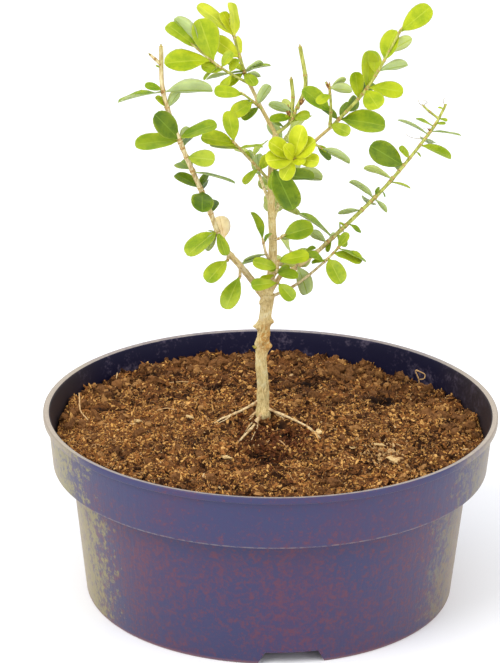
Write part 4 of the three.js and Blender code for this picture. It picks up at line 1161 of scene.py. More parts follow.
MASSES = [
    mass("foliage_left", (1.2, 0.95),
         [(-26, -8, 189), (-33, -13, 210), (-45, -20, 241), (-53, -25, 267), (-54, -26, 290)],
         seen=[
             (0.04, 235, 20, 19.5, 0.72, 0.42), (0.04, 212, 5, 11, -0.8, 0.5),
             (0.04, 157, 20, 13, 0.8, 0.45), (0.26, 174, 66, 21, 0.97, 0.7),
             (0.28, 304, -15, 15, 0.75, 0.72), (0.28, 20, -20, 9, 0.75, 0.72),
             (0.37, 98, 0, 21, 0.14, 0.5), (0.45, 94, 25, 14.5, 0.97, 0.46),
             (0.54, 268, 10, 21.5, 0.75, 0.6), (0.55, 64, 10, 19.5, 0.65, 0.5),
             (0.53, 23, -10, 8.5, -0.7, 0.5), (0.545, 316, 48, 21, 0.97, 0.72),
             (0.71, 31, -10, 10, -0.7, 0.5), (0.71, 317, 20, 8, 0.6, 0.3), (0.79, 263, 0, 22, 0.22, 0.5),
             (0.79, 82, 0, 23.5, -0.4, 0.5), (0.8, 287, 20, 9, 0.8, 0.5),
         ],
         late=[(0.03, 290, 0, 5, 0.2, 0.5), (0.9, 300, 10, 3, 0.6, 0.4)],
         flushes=[
             flush((0.14, 0.5), 4, 90, (75, 70), (14, 13), (0.6, 0.5), seed=5, facing=0.3, single=True),
         ],
         twigs=[([(-54, -26, 281), (-56, -26, 283), (-59, -27, 286)], (0.7, 0.6))]),
    mass("foliage_left_low", (0.8, 0.6), [(-16, -2, 173), (-16, -5, 171), (-16, -8, 169)],
         seen=[(0.97, 205, 20, 18.5, 0.92, 0.42)]),
    mass("foliage_left_under", (0.8, 0.6), [(-22, -5, 181), (-22, -9, 180), (-22, -12, 179)],
         seen=[(0.95, 225, 25, 16, 0.85, 0.45)]),
    mass("foliage_left_dry", (0.6, 0.5), [(-23, -6, 183), (-24, -2, 184), (-24, 2, 186)], dry=True,
         seen=[(0.95, 350, 0, 12, 0.95, 0.2)]),
    mass("foliage_mid_left", (0.75, 0.55), [(-1, 5, 214), (-9, -2, 225), (-20, -9, 239)],
         seen=[
             (1, 350, 10, 15.5, 0.9, 0.15), (0.92, 284, 15, 17.5, 0.8, 0.15), (0.81, 283, 5, 15, 0.5, 0.2),
             (0.84, 80, 0, 11.5, 0.3, 0.3), (0.47, 326, 15, 7.5, 0.8, 0.4), (0.32, 31, 15, 9, 0.95, 0.22),
             (0.36, 227, 10, 10.5, 0.75, 0.4), (0.51, 344, -10, 6.5, -0.6, 0.5),
         ]),
    mass("foliage_top_left", (0.85, 0.55), [(-14, 18, 264), (-18, 23, 276), (-22, 28, 290)],
         seen=[
             (0.72, 315, 10, 23.5, 0.55, 0.05), (0.68, 0, 0, 18, 0.5, 0.05), (0.34, 306, 10, 16, 1, 0.08),
             (0.38, 359, -10, 10.5, 0.5, 0.1), (0.08, 55, 10, 10.5, -0.6, 0.5),
             (0.1, 71, 0, 13.5, 0.25, 0.5), (0.08, 140, 30, 11, 0.9, 0.4), (0.1, 264, 10, 19, 0.22, 0.5),
             (0.1, 304, 20, 11, 0.75, 0.25), (0.08, 238, 20, 11, 0.8, 0.25),
         ],
         late=[(0.7, 338, 5, 14, 0.8, 0.05), (0.05, 92, 10, 8, -0.5, 0.5)]),
    mass("foliage_top_left_side", (0.7, 0.5), [(-12, 16, 261), (-26, 12, 270), (-40, 10, 282)],
         seen=[
             (0.9, 312, 0, 19.5, 0.8, 0.45), (0.86, 326, -10, 20.5, -0.65, 0.5),
             (0.62, 343, 10, 22, 0.95, 0.22), (0.66, 268, 15, 23, 0.88, 0.2),
             (0.48, 30, 10, 9.5, 0.9, 0.3), (0.53, 230, 10, 10, 0.4, 0.3),
         ],
         late=[(0.42, 282, 20, 12, 0.9, 0.3), (0.34, 28, 10, 8, 0.85, 0.3), (0.3, 215, 15, 9, 0.8, 0.3)]),
    mass("foliage_top_left_base", (0.7, 0.5), [(-6, 10, 250), (-11, 4, 256), (-16, -1, 261)],
         seen=[
             (0.14, 236, 15, 10.5, 0.7, 0.6), (0.9, 278, 15, 14.5, 0.9, 0.28),
             (0.46, 236, 35, 14.5, 1, 0.22), (0.25, 27, 0, 11.5, -0.75, 0.5),
             (0.39, 252, -10, 13.5, 0.6, 0.6),
         ],
         late=[(0.55, 255, -10, 8, 0.6, 0.5)]),
    mass("foliage_centre", (0.9, 0.7), [(1, 4, 239), (8, 2, 246), (11, 0, 254)],
         seen=[
             (0.64, 290, 20, 4, 0.9, 0.12), (0.64, 74, 20, 9, 0.9, 0.12), (0.8, 295, 0, 13.5, -0.6, 0.5),
             (0.68, 269, 10, 11.5, 0.7, 0.6),
         ],
         late=[(0.5, 60, 10, 5, 0.7, 0.3), (0.3, 300, 0, 6, 0.6, 0.5)],
         twigs=[
             ([(8, 2, 246), (9, 1, 258), (8, 0, 268)], (0.9, 0.8)),
             ([(11, 0, 253), (15, -2, 266), (12, -4, 285)], (0.9, 0.9)),
         ]),
    mass("foliage_top_right", (0.8, 0.55), [(29, -9, 248), (43, -15, 266), (52, -20, 283), (59, -25, 299)],
         seen=[
             (0.97, 50, 5, 19, 1, 0.18), (0.69, 18, 25, 16, 0.85, 0.3), (0.78, 55, -15, 13, -0.85, 0.35),
             (0.59, 72, 0, 14.5, -0.45, 0.5), (0.41, 6, 10, 18, 0.8, 0.25), (0.43, 95, 10, 17, 0.9, 0.2),
             (0.4, 150, 52, 16, 1, 0.25), (0.3, 355, 15, 13, 0.85, 0.35), (0.06, 94, 5, 22.5, 0.78, 0.6),
             (0.05, 318, 10, 11, 0.8, 0.85), (0.07, 22, 0, 9, 0.7, 0.7),
         ],
         flushes=[flush((0.15, 0.55), 3, 90, (60, 55), (14, 14), (0.5, 0.3), seed=5, single=True)]),
    mass("foliage_right_side", (0.8, 0.5), [(27, -8, 246), (27, -15, 259), (26, -17, 269)],
         seen=[
             (0.92, 48, 0, 9.5, -0.65, 0.4), (0.96, 92, 5, 11, -0.65, 0.4), (0.83, 236, 35, 9, 0.97, 0.3),
             (0.92, 336, 0, 4.5, 0.5, 0.4), (0.42, 311, 10, 17.5, 0.92, 0.48),
             (0.1, 118, 30, 13, 0.97, 0.42),
         ]),
    mass("foliage_right_under", (0.7, 0.5), [(20, -3, 236), (21, -8, 237), (23, -13, 237)],
         seen=[
             (1, 111, 5, 16, -0.45, 0.6), (0.3, 132, 10, 10, 0.7, 0.85), (0.2, 118, 10, 6.5, 0.7, 0.22),
             (0.2, 11, 0, 12.5, 0.5, 0.3),
         ]),
    mass("foliage_rosette", (0.9, 0.7), [(-1, 4, 220), (5, -12, 229), (10, -24, 235)],
         seen=[
             (0.98, 11, 35, 18, 0.9, 0.05), (0.98, 304, 35, 16.5, 0.95, 0.05),
             (0.98, 265, 40, 16.5, 0.95, 0.03), (0.98, 208, 35, 13.5, 1, 0.03),
             (0.98, 96, 35, 13.5, 0.95, 0.03), (0.98, 46, 40, 15.5, 0.9, 0.06),
             (1, 322, 60, 13, 0.9, 0.02), (1, 119, 60, 9, 0.9, 0.02),
         ]),
    mass("foliage_front", (0.8, 0.6), [(-1, 5, 210), (-1, -3, 219), (0, -9, 226)],
         seen=[(0.98, 152, 20, 23, 0.95, 0.85), (0.6, 87, 0, 21, 0.5, 0.7), (0.87, 189, 0, 9.5, 0.5, 0.6)]),
    mass("foliage_centre_right", (0.7, 0.5), [(0, 6, 184), (3, 2, 186), (6, -1, 189)],
         seen=[(0.75, 70, 15, 16.5, 0.92, 0.5), (0.5, 81, 0, 7.5, -0.6, 0.5)]),
    mass("foliage_centre_left", (0.7, 0.5), [(0, 6, 172), (-3, 1, 178), (-5, -2, 187)],
         seen=[
             (0.9, 343, 0, 16, 0.45, 0.5), (0.84, 28, -20, 7, 0.5, 0.5), (0.47, 259, 0, 12, -0.25, 0.5),
             (0.25, 264, 0, 14.5, 0.18, 0.5), (0.25, 168, 30, 10, 0.85, 0.2),
         ]),
    mass("foliage_crotch", (0.8, 0.6), [(-1, 4, 163), (2, -5, 171), (3, -8, 178)],
         seen=[
             (0.95, 70, 5, 10.5, 0.8, 0.65), (1, 74, 10, 15.5, 0.8, 0.3), (0.75, 288, 20, 13, 0.85, 0.42),
             (0.6, 100, 30, 12, 0.7, 0.6),
         ],
         late=[(0.45, 250, 20, 8, 0.8, 0.3), (0.5, 60, 10, 8, 0.8, 0.5)]),
    mass("foliage_crotch_low", (0.7, 0.5), [(0, 5, 161), (2, -3, 164), (3, -7, 166)],
         seen=[(1, 266, 25, 14, 0.9, 0.45), (1, 136, 25, 12, 0.98, 0.45)]),
    mass("foliage_crotch_right", (0.7, 0.5), [(12, 12, 167), (13, 5, 173), (14, 2, 178)],
         seen=[(0.35, 157, 10, 16, -0.85, 0.5), (0.71, 67, 0, 10.5, 0.6, 0.6), (0.83, 51, 0, 9.5, 0.5, 0.6)]),
    mass("foliage_right", (1.05, 0.65),
         [(24, 16, 176), (41, 22, 191), (59, 29, 208), (79, 37, 232), (86, 40, 244)],
         seen=[
             (0.09, 310, 0, 21, 0.2, 0.5), (0.05, 307, 0, 10, -0.75, 0.5), (0.06, 30, 0, 5.5, -0.6, 0.5),
             (0.18, 303, 0, 3.5, 0.6, 0.45), (0.3, 268, 0, 12, -0.42, 0.5), (0.39, 309, 0, 15, -0.28, 0.5),
             (0.4, 14, 0, 5.5, 0.5, 0.5), (0.39, 132, 0, 9.5, -0.5, 0.5),
             (0.53, 297, 0, 15.5, -0.35, 0.35), (0.51, 101, 0, 11, 0.27, 0.45),
             (0.62, 302, 10, 19.5, 0.97, 0.8), (0.67, 322, 20, 8, 0.8, 0.4),
             (0.76, 107, 0, 17, 0.58, 0.45), (0.83, 301, 0, 17, 0.12, 0.5), (0.85, 91, 0, 15.5, 0.16, 0.5),
             (0.88, 299, 0, 10, 0.4, 0.45), (0.9, 86, 20, 5, 0.6, 0.4),
         ],
         late=[
             (0.985, 25, 0, 3, 0.7, 0.3), (0.985, 290, 0, 3, 0.7, 0.3), (0.93, 100, 15, 4.5, 0.7, 0.4),
             (0.925, 215, 0, 4, 0.5, 0.4), (0.72, 130, 0, 4, 0.5, 0.4), (0.45, 150, 0, 4, 0.4, 0.5),
             (0.2, 120, 0, 8, 0.6, 0.5), (0.12, 140, 10, 8, 0.8, 0.5), (0.08, 200, 10, 7, 0.7, 0.55),
         ],
         flushes=[
             flush((0.15, 0.8), 4, 90, (70, 65), (14, 13), (0.6, 0.5), seed=5, facing=0.3, single=True),
         ],
         twigs=[([(83, 39, 238), (78, 38, 242), (75, 37, 245)], (0.6, 0.5))]),
    mass("foliage_right_low", (0.8, 0.5), [(-1, 5, 154), (12, 2, 162), (25, 0, 174), (33, -1, 183)],
         seen=[
             (0.9, 101, 10, 14.8, 0.62, 0.42), (0.82, 152, 30, 15.5, 0.97, 0.42),
             (0.76, 301, 10, 9.5, 0.7, 0.62), (0.79, 262, 10, 7.5, 0.6, 0.6),
             (0.97, 32, 15, 9.5, 0.9, 0.45), (1, 109, 0, 15.5, 0.26, 0.5),
         ]),
    mass("foliage_back", (0.9, 0.6), [(0, 6, 193), (5, 30, 203), (9, 50, 215)],
         flushes=[flush((0.3, 1.0), 4, 0, (75, 45), (15, 16), (0.5, 0.3), seed=30)]),
    mass("foliage_back_low", (0.9, 0.6), [(0, 6, 171), (6, 25, 166), (10, 42, 166)],
         flushes=[flush((0.4, 1.0), 3, 45, (75, 50), (15, 15), (0.5, 0.5), seed=37)]),
    mass("foliage_back_left", (0.9, 0.6), [(-1, 5, 203), (-5, 30, 205), (-10, 50, 215)],
         flushes=[flush((0.35, 1.0), 3, 20, (75, 45), (12, 14), (0.5, 0.4), seed=25)]),
    mass("foliage_back_top", (0.9, 0.6), [(1, 4, 233), (7, 30, 231), (11, 50, 235)],
         flushes=[flush((0.35, 1.0), 3, 20, (75, 45), (12, 14), (0.4, 0.2), seed=40)]),
]

WORD = 0xFFFFFFFF
STEM_SIDES = 8
STEM_STEP = 0.7
STEM_RIBS = 0.09
NODE_SWELL = 0.2
NODE_REACH = 1.1
SCAR_HALF = 0.36
FAR_OFF = -9
BUD_SEED = 77
BUD_LENGTHS = (0.8, 1.5)
END_BUD_LENGTH = 1.7
BUD_SHARES = np.array((0, 0.25, 0.55, 0.85, 1))
BUD_RADII = np.array((0.16, 0.3, 0.28, 0.14, 0.03))
BUD_SIDES = 6
BUD_SEAT = 0.8
BUD_LEAN = 0.5
END_BUD_SINK = 0.3
TWIG_NODES = (0.02, 0.55)
TRUNK_BUD = ((-7.6, 3.2, 127.4), (-0.75, -0.3, 0.6), 2.6)
DRY_WISPS = [
    [(75, 37, 245), (76, 38, 246), (77, 38, 247), (74, 38, 248)],
    [(86, 40, 244), (85, 40, 247), (86, 40, 249)],
    [(76, 36, 229), (72, 34, 229), (68, 34, 230), (66, 34, 232)],
    [(79, 37, 232), (77, 36, 234), (74, 36, 233)],
    [(75, 37, 245), (73, 38, 246), (72, 38, 249)],
]
WISP_THICKNESS = (0.2, 0.1)
WISP_SIDES = 5
WITHERED_BUDS = [
    ((7.6, 1.8, 248.5), (-0.15, 0, 1), 6.5),
    ((8.8, 1, 256.5), (0.1, -0.2, 1), 3.0),
    ((12.6, -2, 255.5), (0.3, -0.2, 1), 4.6),
    ((26, -17, 267.6), (-0.35, 0, 1), 4.2),
    ((-15, 18.5, 265), (0.2, -0.6, 0.6), 2.4),
    ((79, 37, 232), (-0.6, -0.3, 0.6), 2.6),
    ((-54, -26, 267), (0.5, -0.5, 0.5), 2.0),
]
SCALE_PLUMP = 0.5
SCALE_SHRINK = 0.13
SCALE_LEANS = [(0, 0, 0), (0.4, 0.1, 0), (-0.4, 0.1, 0), (0.1, -0.4, 0), (-0.1, 0.4, 0)]
TIP_TOLERANCE = 0.5


def draws(seed):
    """Random numbers from 0 to 1, the same ones for the same seed."""
    state = seed
    while True:
        state = (state + 0x6D2B79F5) & WORD
        mixed = ((state ^ (state >> 15)) * (state | 1)) & WORD
        mixed ^= (mixed + (((mixed ^ (mixed >> 7)) * (mixed | 61)) & WORD)) & WORD
        yield (mixed ^ (mixed >> 14)) / 2 ** 32


def swung(first, second, degrees):
    """The direction that lies an angle away from a first direction, towards a second."""
    angle = math.radians(degrees)
    return math.cos(angle) * first + math.sin(angle) * second


def grown_pose(along, turn, opening, facing, twist):
    """The directions along a grown leaf and out of its face."""
    sideways, onwards = stem_sides(along)
    way = unit_vectors(swung(along, swung(sideways, onwards, turn), opening))
    face = squared_to(squared_to(along, way) + facing * LIGHT, way)
    return way, swung(face, np.cross(way, face), twist)


def seen_pose(clock, tilt, show):
    """The directions along a seen leaf and out of its face."""
    way = swung(swung(UPWARDS, RIGHTWARDS, clock), TOWARDS, tilt)
    front = squared_to(TOWARDS, way)
    edge = np.cross(way, front)
    if edge[2] + edge[0] / 10 < 0:
        edge = -edge
    return way, show * front + math.sqrt(1 - show * show) * edge


def fitting(leaf, poses, corners):
    """The leaf in the pose that its mass holds it in, or nothing if the mass is too crowded for it. A late
    leaf, which comes without corners, takes the first pose."""
    for way, face in poses:
        tip = leaf["root"] + leaf["size"] * (way - LEAF_SAG * face)
        if corners is None or np.min(np.linalg.norm(corners - tip, axis=1)) < TIP_TOLERANCE:
            return [{**leaf, "way": way, "face": face}]
    return []


def rooted(at, stem):
    """Every leaf is rooted a little below the end of its stem."""
    return min(at, 1 - LEAF_SINK / stem.length)


def grow_seen(seen, stem, corners=None):
    at, clock, tilt, size, show, age = seen
    at = rooted(at, stem)
    poses = [seen_pose(clock, tilt + extra, show) for extra in CROWDED_TILTS]
    return fitting(dict(at=at, root=stem.at(at)[0], size=size, age=age), poses, corners)


def bud_shape(root, way, length, plump=1.0):
    """A pointed bud, as points and triangles."""
    return tube(np.array(root) + length * np.outer(BUD_SHARES, way), length * plump * BUD_RADII, BUD_SIDES)


def grow_flush(rule, stem, corners):
    leaves = []
    for node in range(rule["pairs"]):
        share = node / (rule["pairs"] - 1)
        at = rooted(lerp(rule["at"], share), stem)
        root, along = stem.at(at)
        for side in range(1 if rule["single"] else 2):
            draw = draws(rule["seed"] * SEEDS_APART + node * 2 + side)
            strays = [(next(draw) - 0.5) * 2 for _ in range(5)]
            spun = 0 if rule["single"] else PAIR_SPIN * node + 180 * side
            turn = rule["roll"] + spun + strays[0] * TURN_STRAY
            opening = lerp(rule["opening"], share) + strays[1] * OPEN_STRAY
            size = lerp(rule["leaf"], share) * (1 + strays[2] * SIZE_STRAY)
            age = lerp(rule["age"], share) + strays[3] * AGE_STRAY
            twist = strays[4] * TWIST_STRAY
            if next(draw) < KEPT_LEAVES:
                turns = [turn + extra for extra in CROWDED_TURNS]
                poses = [grown_pose(along, turn, opening, rule["facing"], twist) for turn in turns]
                leaves += fitting(dict(at=at, root=root, size=size, age=age), poses, corners)
    return leaves


def stem_tube(stem, thick, nodes):
    """A four-angled stem, swollen at its nodes. Its triangles are dealt to the stem or to the brown scars."""
    shares, centres = stem.line(STEM_STEP)
    gap = np.abs(shares[:, None] - np.array([*nodes, FAR_OFF])[None]).min(axis=1) * stem.length
    radii = lerp(thick, shares) + NODE_SWELL * lerp(thick, shares) * np.exp(-(gap / NODE_REACH) ** 2)
    corners = np.arange(STEM_SIDES) * 2 * math.pi / STEM_SIDES
    ribs = 1 + STEM_RIBS * np.cos(4 * corners)
    points, triangles = tube(centres, radii[:, None] * ribs[None], STEM_SIDES)
    scarred = np.repeat(gap[:-1] < SCAR_HALF, 2 * STEM_SIDES)
    slots = np.concatenate([np.zeros(STEM_SIDES), scarred, np.ones(STEM_SIDES)]).astype(int)
    return points, triangles, slots


stems = Heap()
buds = Heap()
leaves = []
late_leaves = []
bud_draw = draws(BUD_SEED)
for rule in MASSES:
    corners = np.array([vertex.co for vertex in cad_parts[rule["name"]].data.vertices]) / MM
    stem = Course(rule["course"])
    grown = []
    for seen in rule["seen"]:
        grown += grow_seen(seen, stem, corners)
    for stretch in rule["flushes"]:
        grown += grow_flush(stretch, stem, corners)
    leaves += [{**leaf, "dry": rule["dry"]} for leaf in grown]
    for late in rule["late"]:
        late_leaves += [{**leaf, "dry": False} for leaf in grow_seen(late, stem)]
    for leaf in grown:
        along = stem.at(leaf["at"])[1]
        aside = squared_to(leaf["way"], along)
        root = leaf["root"] + BUD_SEAT * lerp(rule["thick"], leaf["at"]) * aside
        way = unit_vectors(along + BUD_LEAN * aside)
        buds.add(*bud_shape(root, way, lerp(BUD_LENGTHS, next(bud_draw))))
    twigs = [(Course(course), thick, TWIG_NODES) for course, thick in rule["twigs"]]
    for twig, thick, nodes in [(stem, rule["thick"], [leaf["at"] for leaf in grown]), *twigs]:
        stems.add(*stem_tube(twig, thick, nodes))
        end, along = twig.at(1)
        buds.add(*bud_shape(end - END_BUD_SINK * along, along, END_BUD_LENGTH))
leaves += late_leaves
place, way, length = TRUNK_BUD
buds.add(*bud_shape(place, unit_vectors(np.array(way)), length))

green_wood = Finish("green wood", {"Specular IOR Level": 0.3})
spot = green_wood.place()
height = green_wood.axis(spot, "Z")
streak = green_wood.noise(spot, 1.2, detail=3, rough=0.6, stretch=(1, 1, 5))
patch = green_wood.noise(spot, 7, detail=3)
tan = green_wood.blend(srgb(172, 144, 90), srgb(222, 206, 158), streak.between(0.36, 0.62))
olive = green_wood.blend(srgb(140, 142, 48), srgb(188, 190, 96), streak.between(0.36, 0.62))
across = green_wood.axis(spot, "X")
outwards = (height + patch * 60 + across * 1.3 - abs(across) * 0.3).between(215, 265)
green_wood.wear(
    Base_Color=green_wood.blend(tan, olive, outwards),
    Roughness=0.55 + streak * 0.2,
    Normal=green_wood.bump(streak, 0.15),
)


def mottled(name, dark, light, size, rough, gloss, soft=0.15):
    """A dull finish in two tones that run softly into each other."""
    finish = Finish(name, {"Roughness": rough, "Specular IOR Level": gloss})
    tones = finish.noise(finish.place(), size).between(0.5 - soft, 0.5 + soft)
    finish.wear(Base_Color=finish.blend(dark, light, tones))
    return finish.material


scar_wood = mottled("brown scars", srgb(150, 114, 60), srgb(196, 164, 104), 0.9, 0.75, 0.2)
foliage_stems = stems.piece("foliage_stems", green_wood.material, scar_wood)
finished(foliage_stems, "bark", *(rule["name"] for rule in MASSES))
bud_scales = mottled("bud scales", srgb(132, 116, 44), srgb(190, 178, 88), 0.9, 0.6, 0.3)
finished(buds.piece("foliage_buds", bud_scales), "bark")
wisps = Heap()
for course in DRY_WISPS:
    shares, centres = Course(course).line(STEM_STEP)
    wisps.add(*tube(centres, lerp(WISP_THICKNESS, shares), WISP_SIDES))
withered = mottled("withered fibre", srgb(132, 118, 88), srgb(184, 170, 132), 1.2, 0.85, 0.1)
finished(wisps.piece("dry_wisps", withered), "bark")
scales = Heap()
for place, way, length in WITHERED_BUDS:
    for number, lean in enumerate(SCALE_LEANS):
        leaning = unit_vectors(np.array(way) + np.array(lean))
        scales.add(*bud_shape(place, leaning, length * (1 - SCALE_SHRINK * number), SCALE_PLUMP))
brown_scales = mottled("withered bud scales", srgb(96, 64, 30), srgb(176, 132, 74), 0.8, 0.8, 0.15, 0.12)
finished(scales.piece("withered_buds", brown_scales), "bark")

# Leaves: small leathery oval blades on short stalks, folded a little along the midrib, with a pale rim.
# The young ones are yellow and thin, the old ones dark and glossy, and the undersides are a dull grey-green.
BLADE_ROWS = (0.05, 0.12, 0.21, 0.33, 0.47, 0.61, 0.74, 0.85, 0.93, 0.98)
UPPER_COLUMNS = (-1, -0.93, -0.62, -0.28, -0.045, 0.045, 0.28, 0.62, 0.93, 1)
UNDER_COLUMNS = (-1, -0.55, -0.06, 0.06, 0.55, 1)
STALK_LENGTH = 0.1
STALK_HALF_WIDTH = 0.028
STALK_HALF_THICKNESS = 0.3
BLADE_HALF_THICKNESS = 0.15
RIB_DEPTH = 0.14
RIB_HALF_WIDTH = 0.07
BLADE_START = 0.13
FOLD_POWER = 1.25
WAVE_LENGTHS = 9
HABIT_SEED = 900
HALF_WIDTHS = (0.25, 0.335)
DRY_HALF_WIDTH = 0.38
FOOT_POWERS = (0.62, 0.9)
TIP_POWERS = (0.4, 0.52)
CUPS = (0.05, 0.36)
WAVES = (0.0, 0.03)
PHASES = (0, 6.3)
# The light tint is partly painted light: it also stands for leaves that look paler because they are backlit.
LEAF_TINTS = [
    ("leaves_young", 0.12, srgb(163, 175, 16), srgb(195, 200, 40), srgb(194, 202, 112), srgb(204, 208, 66)),
    ("leaves_fresh", 0.38, srgb(130, 152, 6), srgb(162, 174, 20), srgb(182, 194, 118), srgb(168, 182, 44)),
    ("leaves_light", 0.47, srgb(120, 144, 14), srgb(154, 168, 34), srgb(176, 189, 122), srgb(162, 176, 58)),
    ("leaves_mid", 0.66, srgb(98, 129, 8), srgb(132, 151, 18), srgb(168, 184, 124), srgb(140, 160, 40)),
    ("leaves_dark", 9, srgb(66, 95, 6), srgb(100, 123, 14), srgb(156, 174, 114), srgb(112, 138, 34)),
]


def blade_topology():
    """The triangles of one leaf and their slots: 0 above, 1 beneath and 2 for the midrib and the rim."""
    rows = len(BLADE_ROWS)
    above = len(UPPER_COLUMNS)
    inner = len(UNDER_COLUMNS) - 2
    root = rows * (above + inner)
    tip = root + 1

    def upper(row, column):
        return row * above + column

    def under(row, column):
        if column == 0:
            return upper(row, 0)
        if column == inner + 1:
            return upper(row, above - 1)
        return rows * above + row * inner + column - 1

    triangles, slots = [], []
    pale = [column in (0, above // 2 - 1, above - 2) for column in range(above - 1)]
    sides = [(upper, above, [2 if edge else 0 for edge in pale], False),
             (under, inner + 2, [1, 1, 2, 1, 1], True)]
    for corner, columns, strip_slots, flipped in sides:
        for column in range(columns - 1):
            strip = [(root, corner(0, column + 1), corner(0, column))]
            for row in range(rows - 1):
                a, b = corner(row, column), corner(row, column + 1)
                c, d = corner(row + 1, column + 1), corner(row + 1, column)
                strip += [(a, b, c), (a, c, d)]
            strip.append((tip, corner(rows - 1, column), corner(rows - 1, column + 1)))
            triangles += [face[::-1] if flipped else face for face in strip]
            slots += [strip_slots[column]] * len(strip)
    return np.array(triangles), np.array(slots)


def blade_points(leaf, habit):
    """The points of one leaf, in the order of the topology. Its habit shapes its outline and its folds."""
    half, foot_power, tip_power, cup, wave, phase = habit
    way = leaf["way"]
    face = leaf["face"]
    across = np.cross(face, way)
    size = leaf["size"]
    rows = np.array(BLADE_ROWS)[:, None]
    blade = ((rows - STALK_LENGTH) / (1 - STALK_LENGTH)).clip(0, 1)
    widest = foot_power / (foot_power + tip_power)
    peak = widest ** foot_power * (1 - widest) ** tip_power
    swell = blade ** foot_power * (1 - blade) ** tip_power / peak
    widths = lerp((STALK_HALF_WIDTH, half), swell)

    def surface(columns, sign):
        u = np.array(columns)[None]
        rim = np.abs(u)
        height = -LEAF_SAG * rows ** 2 + cup * widths * rim ** FOLD_POWER
        height = height + wave * rim ** 2 * np.sin(WAVE_LENGTHS * rows + phase + 2 * np.sign(u))
        in_blade = rows >= BLADE_START
        thick = np.where(in_blade, BLADE_HALF_THICKNESS, STALK_HALF_THICKNESS) * (1 - rim ** 4)
        rib = RIB_DEPTH * (rim < RIB_HALF_WIDTH) * in_blade * (1 - rows)
        height = height * size + sign * thick - rib
        place = (rows * size)[..., None] * way + (u * widths * size)[..., None] * across
        return (place + height[..., None] * face).reshape(-1, 3)

    tip = size * (way - LEAF_SAG * face)
    ends = np.array([np.zeros(3), tip])
    return leaf["root"] + np.concatenate([surface(UPPER_COLUMNS, 1), surface(UNDER_COLUMNS[1:-1], -1), ends])


def leaf_finish(name, dark, light, rough, glow):
    finish = Finish(name, {
        "Subsurface Weight": glow,
        "Subsurface Radius": (1.0, 1.0, 0.3),
        "Subsurface Scale": 0.0012,
        "IOR": 1.45,
        "Specular IOR Level": 0.28,
    })
    spot = finish.place()
    cloud = finish.noise(spot, 9, detail=2)
    vein = finish.noise(spot, 1.6, detail=3, rough=0.6)
    tint = finish.blend(dark, light, (cloud * 0.75 + vein * 0.25).between(0.36, 0.64))
    finish.wear(Base_Color=tint, Roughness=rough + vein * 0.12, Normal=finish.bump(vein, 0.10))
    return finish.material


blade_triangles, blade_slots = blade_topology()
habit_draw = draws(HABIT_SEED)
tinted = {name: Heap() for name, *_ in LEAF_TINTS}
dry_leaves = Heap()
for leaf in leaves:
    ranges = (HALF_WIDTHS, FOOT_POWERS, TIP_POWERS, CUPS, WAVES, PHASES)
    habit = [lerp(ends, next(habit_draw)) for ends in ranges]
    if leaf["dry"]:
        habit[0] = DRY_HALF_WIDTH
        heap = dry_leaves
    else:
        heap = tinted[next(name for name, oldest, *_ in LEAF_TINTS if leaf["age"] < oldest)]
    heap.add(blade_points(leaf, habit), blade_triangles, blade_slots)
for name, _, dark, light, under, vein in LEAF_TINTS:
    words = name.replace("_", " ")
    piece = tinted[name].piece(
        name,
        leaf_finish(words + " above", dark, light, 0.4, 0.35),
        leaf_finish(words + " beneath", tuple(0.8 * part for part in under), under, 0.5, 0.35),
        leaf_finish(words + " rims", tuple(0.85 * part for part in vein), vein, 0.45, 0.35),
    )
    finished(piece, "leaves", *(rule["name"] for rule in MASSES))
papery = leaf_finish("dry leaf", srgb(214, 184, 138), srgb(240, 218, 180), 0.6, 0.4)
brittle = leaf_finish("dry leaf rims", srgb(190, 152, 104), srgb(222, 192, 146), 0.6, 0.4)
finished(dry_leaves.piece("leaf_dry", papery, papery, brittle), "dry_leaf", "foliage_left_dry")

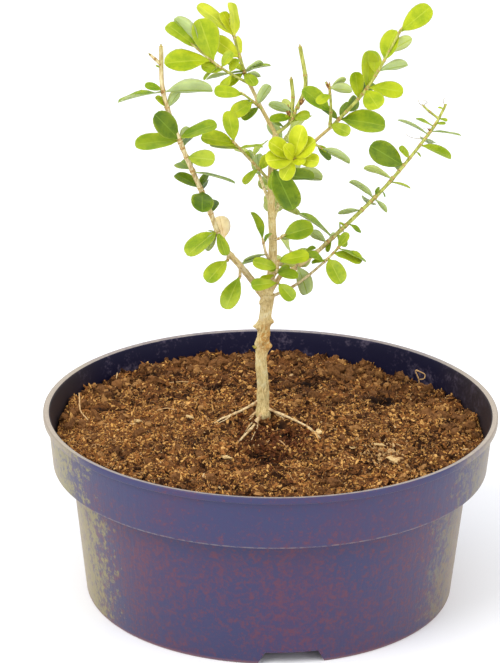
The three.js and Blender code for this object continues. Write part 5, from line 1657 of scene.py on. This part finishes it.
# Camera, floor and light of the studio: a white sweep, a large soft light from the upper left and even fill.
# The camera stands in front and looks down on the rim.
EYE = Vector((-0.0108, -1.2203, 0.5858))
LOOK_DOWN = math.radians(20.17)
ROLL = math.radians(0.53)
FOCAL_LENGTH = 140.8
SENSOR_WIDTH = 36
NEAREST = 0.01
FLOOR_SIZE = 12
PAPER_TONES = ((0.93, 0.93, 0.94, 1), (0.95, 0.95, 0.95, 1))
PAPER_GRAIN = 400
SKY_COLOUR = (0.975, 0.985, 1.015, 1)
SKY_STRENGTH = 1.08
LIGHTS = [
    ("key_light", (-1.3, -1.2, 1.9), (0, 0, 0.1), 1.4, 36),
    ("fill_light", (1.6, -0.9, 1.3), (0, 0, 0.15), 1.6, 12),
]

view = bpy.data.cameras.new("studio camera")
view.lens = FOCAL_LENGTH
view.sensor_width = SENSOR_WIDTH
view.clip_start = NEAREST
camera = bpy.data.objects.new("studio_camera", view)
bpy.context.scene.collection.objects.link(camera)
camera.matrix_world = (Matrix.Translation(EYE) @ Matrix.Rotation(math.pi / 2 - LOOK_DOWN, 4, "X")
                       @ Matrix.Rotation(ROLL, 4, "Z"))
bpy.context.scene.camera = camera

bpy.ops.object.select_all(action="DESELECT")
bpy.ops.mesh.primitive_plane_add(size=FLOOR_SIZE)
floor = bpy.context.object
floor.name = "studio_floor"
paper = Finish("white paper", {"Roughness": 0.95, "Specular IOR Level": 0.1})
paper.wear(Base_Color=paper.blend(*PAPER_TONES, paper.noise(paper.place(), PAPER_GRAIN)))
floor.data.materials.append(paper.material)

sky = bpy.data.worlds.new("studio")
sky.use_nodes = True
background = sky.node_tree.nodes["Background"]
background.inputs["Color"].default_value = SKY_COLOUR
background.inputs["Strength"].default_value = SKY_STRENGTH
bpy.context.scene.world = sky
for name, place, aim, width, power in LIGHTS:
    lamp = bpy.data.lights.new(name, "AREA")
    lamp.size = width
    lamp.energy = power
    light = bpy.data.objects.new(name, lamp)
    bpy.context.scene.collection.objects.link(light)
    light.location = place
    light.rotation_euler = (Vector(aim) - Vector(place)).to_track_quat("-Z", "Y").to_euler()
bpy.context.scene.view_settings.view_transform = "Standard"
